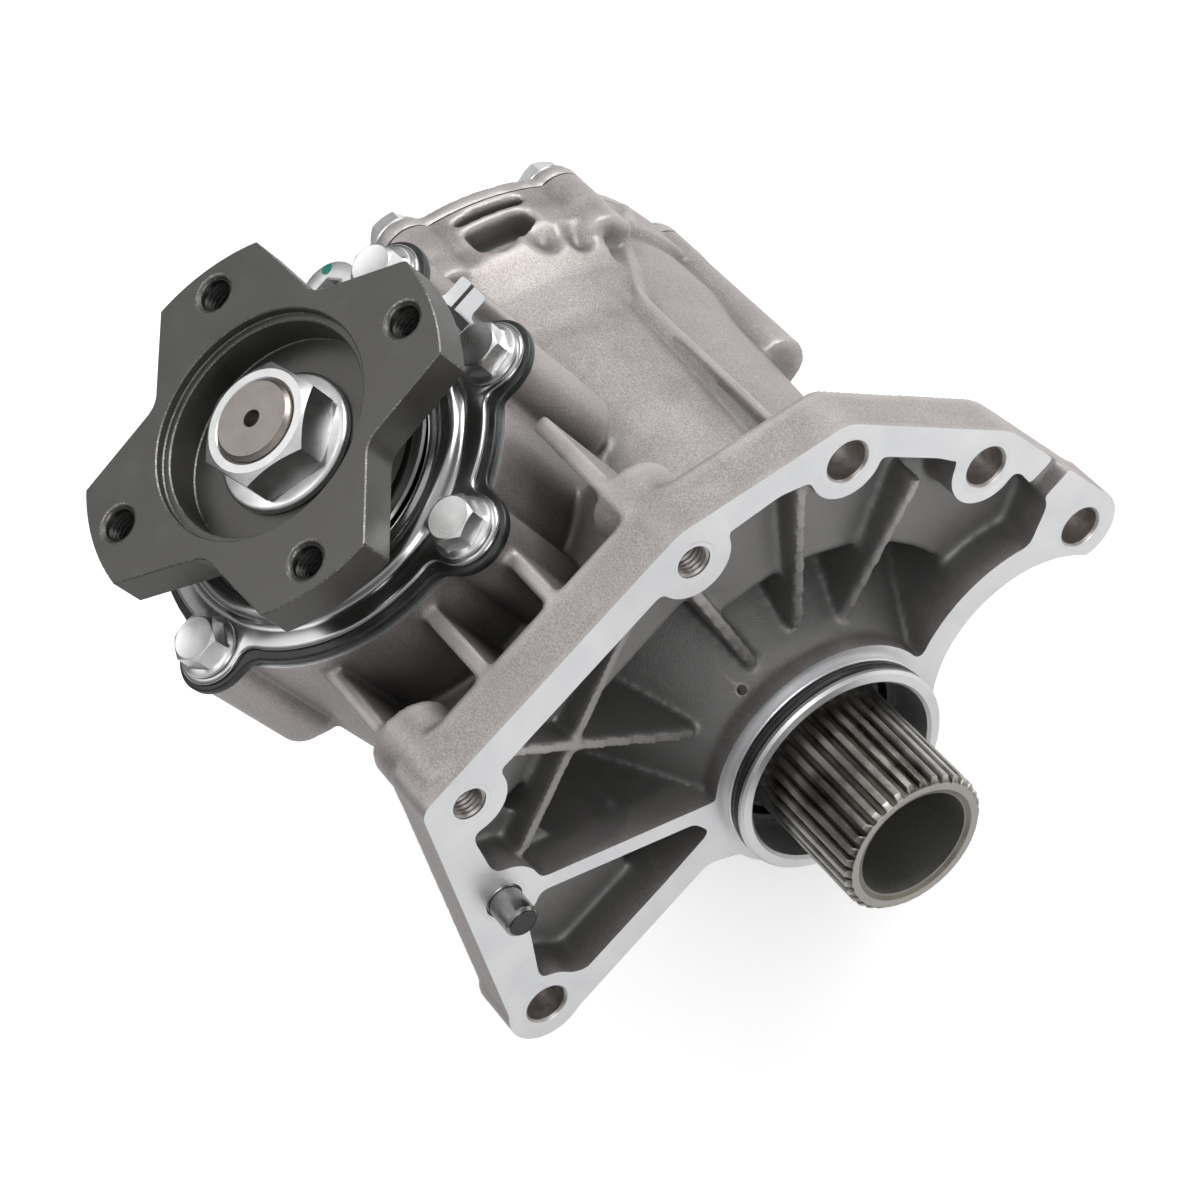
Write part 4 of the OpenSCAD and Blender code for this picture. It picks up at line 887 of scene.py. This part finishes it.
def make_zinc(name, paint=None):
    """Bright zinc plate: cool and pale, slightly cloudy, with a soft grain from the forged surface below.
    paint is the place of a dab of green inspection paint, if the piece has one."""
    finish, nodes, links, shader, where = new_finish(name, 1.0)
    height, patchy = grain(nodes, links, where, 1300, 260)
    colour = ramp(nodes, links, patchy, [(0.3, (0.70, 0.705, 0.70)), (0.55, (0.76, 0.765, 0.76)),
                                         (0.75, (0.82, 0.825, 0.82))])
    if paint is not None:
        near = nodes.new("ShaderNodeVectorMath")
        near.operation = "DISTANCE"
        near.inputs[1].default_value = paint
        links.new(where, near.inputs[0])
        ragged = nodes.new("ShaderNodeMath")
        ragged.operation = "MULTIPLY_ADD"
        ragged.inputs[1].default_value = 2.4 * MM
        links.new(patchy, ragged.inputs[0])
        links.new(near.outputs["Value"], ragged.inputs[2])
        dab = remap(nodes, links, ragged.outputs["Value"], 3.1 * MM, 2.9 * MM)
        colour = blend_colour(nodes, links, dab, colour, (0.01, 0.19, 0.13))
        links.new(remap(nodes, links, dab, 0, 1, 1, 0), shader.inputs["Metallic"])
    links.new(colour, shader.inputs["Base Color"])
    roughen(nodes, links, shader, patchy, 0.27, 0.33, top=0.75)
    soft = bump(nodes, links, shader, patchy, 0.01 * MM, 0.1)
    bump(nodes, links, shader, height, 0.012 * MM, 0.3, soft)
    return finish


ZINC = make_zinc("zinc_plate")
for piece, source in ((retainer_bolts, "retainer_bolts"), (cover_bolts, "cover_bolts")):
    piece.data.materials.append(ZINC)
    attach(piece, "case")
    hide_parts(source)


# ---- Companion flange ----
# A forged steel hub with four lobes, turned and then chemically blackened. Its threaded holes take the
# driveshaft's screws, and the recess pilots the joint.

flange_angle = math.radians(72.4)
flange_bolt_r = 49 * MM
flange_points, flange_faces = joined_copy("companion_flange")
flange_holes = [pinion_axis + flange_bolt_r * np.array([math.cos(a), math.sin(a)])
                for a in (flange_angle + k * math.pi / 2 for k in range(4))]
for hole in flange_holes:
    widen(flange_points, hole, [0, 1], core_r, 5.05 * MM)


def crisp_solid(name, points, faces, width):
    """A machined solid: flat facets are merged, and each edge gets a flat chamfer that catches the light and
    has a material of its own."""
    piece = new_piece(name, points, faces)
    piece.data.materials.append(None)
    piece.data.materials.append(None)
    work = bmesh.new()
    work.from_mesh(piece.data)
    bmesh.ops.dissolve_limit(work, angle_limit=math.radians(0.6), verts=work.verts, edges=work.edges)
    work.to_mesh(piece.data)
    work.free()
    chamfer = piece.modifiers.new("chamfer", "BEVEL")
    chamfer.width = width
    chamfer.segments = 1
    chamfer.limit_method = "ANGLE"
    chamfer.angle_limit = math.radians(30)
    chamfer.material = 1
    settle(piece)
    piece.data.shade_smooth()
    piece.data.set_sharp_from_angle(angle=math.radians(14))
    return piece


flange = crisp_solid("lobed_companion_flange", flange_points, flange_faces, 0.35 * MM)
flange_threads = closed_piece("flange_threads", [
    thread(((*hole, 0), (0, 0, 1), (1, 0, 0)), 147.9 * MM, 10.4 * MM, 5.15 * MM) for hole in flange_holes])


def make_blackened(name, tone, worn_from, worn_to):
    """Blackened turned steel: a dark warm grey film over turning rings round the pinion line, worn pale in
    nicks where the grain lies above worn_from. tone scales the film's colour."""
    finish, nodes, links, shader, where = new_finish(name, 0.85)
    height, patchy = grain(nodes, links, where, 2200, 90)
    colour = ramp(nodes, links, patchy, [(0.3, (0.100, 0.098, 0.092)), (0.55, (0.112, 0.110, 0.103)),
                                         (0.75, (0.128, 0.126, 0.118))])
    colour = blend_colour(nodes, links, 1.0, colour, (tone, tone, tone), "MULTIPLY")
    nick = remap(nodes, links, height, worn_from, worn_to, 0.0, 0.6)
    links.new(blend_colour(nodes, links, nick, colour, (0.62, 0.61, 0.59)), shader.inputs["Base Color"])
    roughen(nodes, links, shader, patchy, 0.36, 0.50)
    rings = tool_marks(nodes, links, where, "RINGS", "Z", 500, centre=(*pinion_axis, 0))
    under = bump(nodes, links, shader, rings, 0.006 * MM, 0.5)
    bump(nodes, links, shader, height, 0.02 * MM, 0.5, under)
    return finish


BLACKENED = make_blackened("blackened_steel", 1.0, 0.72, 0.8)
flange.data.materials[0] = BLACKENED
flange.data.materials[1] = make_blackened("worn_black_edge", 1.25, 0.56, 0.66)
# The threads take the black film at 0.3 of its tone: the film is real, the extra darkness is painted shade in the
# holes
flange_threads.data.materials.append(make_blackened("black_thread_painted_shade", 0.3, 0.72, 0.8))
for piece in (flange, flange_threads):
    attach(piece, "output_pinion_assembly")
    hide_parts("companion_flange")


# ---- Dust deflector, washer and nut of the pinion ----
# A pressed ring on the flange's hub keeps dirt off the seal. The nut clamps the flange through a thick
# washer and is staked after tightening.


def make_turned():
    """Turned pinion steel: brownish grey, with fine rings round the pinion line that also change its tone."""
    finish, nodes, links, shader, where = new_finish("turned_pinion_steel", 1.0)
    height, patchy = grain(nodes, links, where, 1800, 140)
    rings = tool_marks(nodes, links, where, "RINGS", "Z", 380, centre=(*pinion_axis, 0))
    colour = ramp(nodes, links, patchy, [(0.3, (0.30, 0.265, 0.245)), (0.7, (0.38, 0.35, 0.33))])
    groove = remap(nodes, links, rings, 0, 1, 0.0, 0.35)
    colour = blend_colour(nodes, links, groove, colour, (0.24, 0.21, 0.19))
    links.new(colour, shader.inputs["Base Color"])
    roughen(nodes, links, shader, patchy, 0.30, 0.42)
    under = bump(nodes, links, shader, rings, 0.02 * MM, 0.6)
    bump(nodes, links, shader, height, 0.012 * MM, 0.5, under)
    return finish


TURNED = make_turned()
deflector_rows = profile((125.7, 27.1), (129.0, 27.1), (129.2, 28.6), (127.4, 29.2), (127.2, 36.2), (126.6, 37.6),
                         (125.7, 38.0), (125.5, 37.4), (125.4, 35.2), (121.2, 35.0), (121.2, 33.5), (125.2, 33.3))
deflector = turned_piece("pressed_dust_deflector", deflector_rows, pinion_line, 30, turns=120)
washer_rows = profile((135.12, 12.4), (138.08, 12.4), (138.1, 12.7), (138.1, 19.4), (137.7, 20.2), (137.2, 20.6),
                      (135.6, 20.6), (135.12, 20.2))
washer = turned_piece("thick_washer", washer_rows, pinion_line, 30, turns=120)
nut_cols, nut_foot, nut_top = 144, 138.12, 150.5
foot_r, flat_r = 16.2, 15.3
nut_hex = hex_radius(16, nut_cols)
nut_rows = rows_at([(12.1, 149.9), (12.1, 139), (13, nut_foot), (np.minimum(nut_hex, foot_r), nut_foot),
                    (nut_hex, nut_foot + np.maximum(nut_hex - foot_r, 0) * 0.6),
                    (nut_hex, nut_top - np.maximum(nut_hex - flat_r, 0) * 0.62), (flat_r, nut_top),
                    (12.9, nut_top)], nut_cols)
nut = turned_piece("pinion_hex_nut", nut_rows, pinion_line, 26, start=math.radians(12) + math.pi / 6)
deflector.data.materials.append(PRESSED)
washer.data.materials.append(ZINC)
nut.data.materials.append(ZINC)
for piece, source, slot in ((deflector, "dust_deflector", "bright_steel"), (washer, "flange_washer", "zinc"),
                            (nut, "pinion_nut", "zinc")):
    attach(piece, "output_pinion_assembly")
    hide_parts(source)


# ---- Side cover, its sealant and the half-shaft side ----
# The cover closes the gear case's open end and carries the second bearing. It is the same die casting metal
# as the housing, glued with a thin bead of black sealant, and the seat of its seal is turned.

cover_points, cover_faces = joined_copy("side_cover")
widen(cover_points, np.zeros(2), [1, 2], 32 * MM, 33.2 * MM)
# The cover's skin gets painted shade where walls close in on it
side_cover = cast_skin("cast_side_cover", cover_points, cover_faces, voxel=1.1 * MM, cuts=[], softness=8,
                       shading=lambda mesh, co, closed: 0.55 * closed)
side_cover.data.materials.append(CAST)
seal_seat_rows = profile((-190.2, 34.6), (-190.2, 32.0), (-197.4, 32.0), (-198.0, 32.6), (-198.0, 34.3),
                         (-197.7, 34.6))
seal_seat = turned_piece("half_shaft_seal_seat", seal_seat_rows, line_x(0, 0), turns=144)
seal_seat.data.materials.append(MILLED)
for piece in (side_cover, seal_seat):
    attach(piece, "case")
    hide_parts("side_cover")


# ---- Filler, drain and breather ----
# Two plugs with flat heads and hexagon sockets on soft metal washers, and a capped breather that lets warm
# air out. An inspector's dab of green paint marks the filler as tightened.


def plug_rows(reach):
    """A plug from the inside outwards: the end of its shank, a flat disc head with a rounded rim, and a hexagon
    socket. reach is in millimetres, and both plugs are given a thousandth of their real one, so they have
    almost no shank, unlike in the CAD."""
    socket = hex_radius(4.33)
    shank = [(0, -reach), (7.3, -reach), (8.0, -reach + 0.8), (8.0, 0)]
    head = [(9.8, 0), (10.2, 0.4), (10.2, 3.5), (10.05, 3.85), (9.7, 4.0), (6.4, 4.0)]
    return rows_at(shank + head + [(socket + 0.5, 4.0), (socket, 3.5), (socket, -0.6), (0.4, -1.0), (0, -1.0)])


def standing(x, y, z, direction):
    """A line from a point in millimetres, with the angle zero along x."""
    return (x * MM, y * MM, z * MM), direction, (1, 0, 0)


up_z, down_y = (0, 0, 1), (0, -1, 0)
seal_ring_rows = profile((0.02, 8.15), (0.02, 10.4), (0.3, 10.6), (1.1, 10.6), (1.38, 10.4), (1.38, 8.15))
filler = turned_piece("filler_disc_plug", plug_rows(0.014), standing(-151.6, 2.0, 110.42, up_z), 26, seam=False)
drain = turned_piece("drain_disc_plug", plug_rows(0.012), standing(-120, -73.42, -38, down_y), 26, seam=False)
filler_ring = turned_piece("filler_seal_ring", seal_ring_rows, standing(-151.6, 2.0, 109.0, up_z), 30)
drain_ring = turned_piece("drain_seal_ring", seal_ring_rows, standing(-120, -72.0, -38, down_y), 30)
breather_line = (-163.4 * MM, -52 * MM, 96 * MM), (-1, 0, 0), (0, 1, 0)
stem_hex = hex_radius(4.33)
breather_rows = rows_at([(0, -12), (2.7, -12), (3.0, -11.6), (3.0, 0), (stem_hex, 0), (stem_hex, 3), (3.0, 3.2),
                         (3.0, 4.0), (6.6, 4.0), (7.0, 4.4), (7.0, 8.6), (6.5, 9.6), (5.2, 10.0), (0, 10.0)])
breather = turned_piece("capped_breather", breather_rows, breather_line, 28, seam=False)
MARKED = make_zinc("zinc_plate_marked", (-158.8 * MM, 6.0 * MM, 114.4 * MM))
for piece, source, slot, finish in ((filler, "filler_plug", "zinc", MARKED), (drain, "drain_plug", "zinc", ZINC),
                                    (filler_ring, "filler_washer", "bright_steel", PRESSED),
                                    (drain_ring, "drain_washer", "bright_steel", PRESSED),
                                    (breather, "breather", "zinc", ZINC)):
    piece.data.materials.append(finish)
    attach(piece, "case")
    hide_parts(source)


# ---- Gears and bearings inside ----
# The ring gear, the pinion and four taper bearings keep their CAD solids. Of these only the pinion's end
# shows, in the nut, and the rest would show in a cut view.

inner_finish = {
    "gear_carrier": OILED, "ring_gear": OILED, "pinion_shaft": TURNED, "crush_spacer": GROUND,
    "sump_magnet": GROUND, "side_bearing_shim": GROUND, "pinion_head_shim": GROUND,
    "ring_gear_bolts": BLACKENED, "pinion_seal": RUBBER, "cover_sealant": RUBBER,
}
for bearing in ("input_bearing", "side_bearing", "pinion_head", "pinion_tail"):
    inner_finish |= {bearing + "_cup": GROUND, bearing + "_cone": GROUND, bearing + "_rollers": PRESSED}
for source, finish in inner_finish.items():
    node[source].data.materials.clear()
    node[source].data.materials.append(finish)


# ---- Table, lamps and camera ----
# A pale table with soft lamps round it. The camera stands where the photograph was taken from.

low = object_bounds()[0][2]
floor_points = np.array([[-3, -3, low], [3, -3, low], [3, 3, low], [-3, 3, low]], float)
table = new_piece("pale_table", floor_points, np.array([[0, 1, 2, 3]]))
paper = bpy.data.materials.new("pale_paper")
paper.use_nodes = True
sheet = paper.node_tree.nodes["Principled BSDF"]
sheet.inputs["Base Color"].default_value = (0.93, 0.93, 0.93, 1)
sheet.inputs["Roughness"].default_value = 0.9
sheet.inputs["Emission Color"].default_value = (1, 1, 1, 1)
# Rays from the camera see the table a little brighter than it is lit
to_camera = paper.node_tree.nodes.new("ShaderNodeLightPath")
glow = paper.node_tree.nodes.new("ShaderNodeMath")
glow.operation = "MULTIPLY"
glow.inputs[1].default_value = 0.45
paper.node_tree.links.new(to_camera.outputs["Is Camera Ray"], glow.inputs[0])
paper.node_tree.links.new(glow.outputs["Value"], sheet.inputs["Emission Strength"])
table.data.materials.append(paper)

world = bpy.data.worlds.new("studio")
bpy.context.scene.world = world
world.use_nodes = True
sky, links = world.node_tree.nodes, world.node_tree.links
path = sky.new("ShaderNodeLightPath")
seen = sky.new("ShaderNodeMath")
seen.operation = "MAXIMUM"
links.new(path.outputs["Is Camera Ray"], seen.inputs[0])
links.new(path.outputs["Is Transmission Ray"], seen.inputs[1])
direction = sky.new("ShaderNodeTexCoord")
height = sky.new("ShaderNodeSeparateXYZ")
links.new(direction.outputs["Generated"], height.inputs["Vector"])
studio = ramp(sky, links, remap(sky, links, height.outputs["Z"], -1, 1),
              [(0.0, (0.35, 0.35, 0.35)), (0.5, (0.22, 0.22, 0.22)), (0.62, (0.10, 0.10, 0.105)),
               (0.8, (0.50, 0.50, 0.51)), (1.0, (0.70, 0.70, 0.70))])
shade = blend_colour(sky, links, seen.outputs["Value"], studio, (1.0, 1.0, 1.0))
links.new(shade, sky["Background"].inputs["Color"])
sky["Background"].inputs["Strength"].default_value = 1.0


def lamp(name, place, target, size, watts):
    """A square soft lamp that shines from its place to its target."""
    light = bpy.data.lights.new(name, "AREA")
    light.size = size
    light.energy = watts
    stand = bpy.data.objects.new(name, light)
    stand.location = place
    stand.rotation_euler = (Vector(target) - Vector(place)).to_track_quat("-Z", "Y").to_euler()
    bpy.context.scene.collection.objects.link(stand)


centre = (-0.06, 0, 0.03)
lamp("key_lamp", (-0.15, 1.1, 0.8), centre, 0.8, 12)
lamp("side_lamp", (1.15, 0.22, 0.55), centre, 0.6, 4.4)
lamp("top_lamp", (-0.5, -0.2, 1.2), centre, 0.9, 3.2)

camera = bpy.data.objects.new("camera", bpy.data.cameras.new("camera"))
camera.data.lens = 107.2
camera.data.sensor_width = 36
camera.data.clip_end = 20
right, up, back = (0.531, 0.6672, -0.5224), (-0.5535, 0.7399, 0.3824), (0.6417, 0.0861, 0.7621)
camera_at = (0.5800, 0.0754, 0.8061)
camera.matrix_world = Matrix([*zip(right, up, back, camera_at), (0, 0, 0, 1)])
bpy.context.scene.collection.objects.link(camera)
bpy.context.scene.camera = camera
bpy.context.scene.view_settings.view_transform = "Standard"
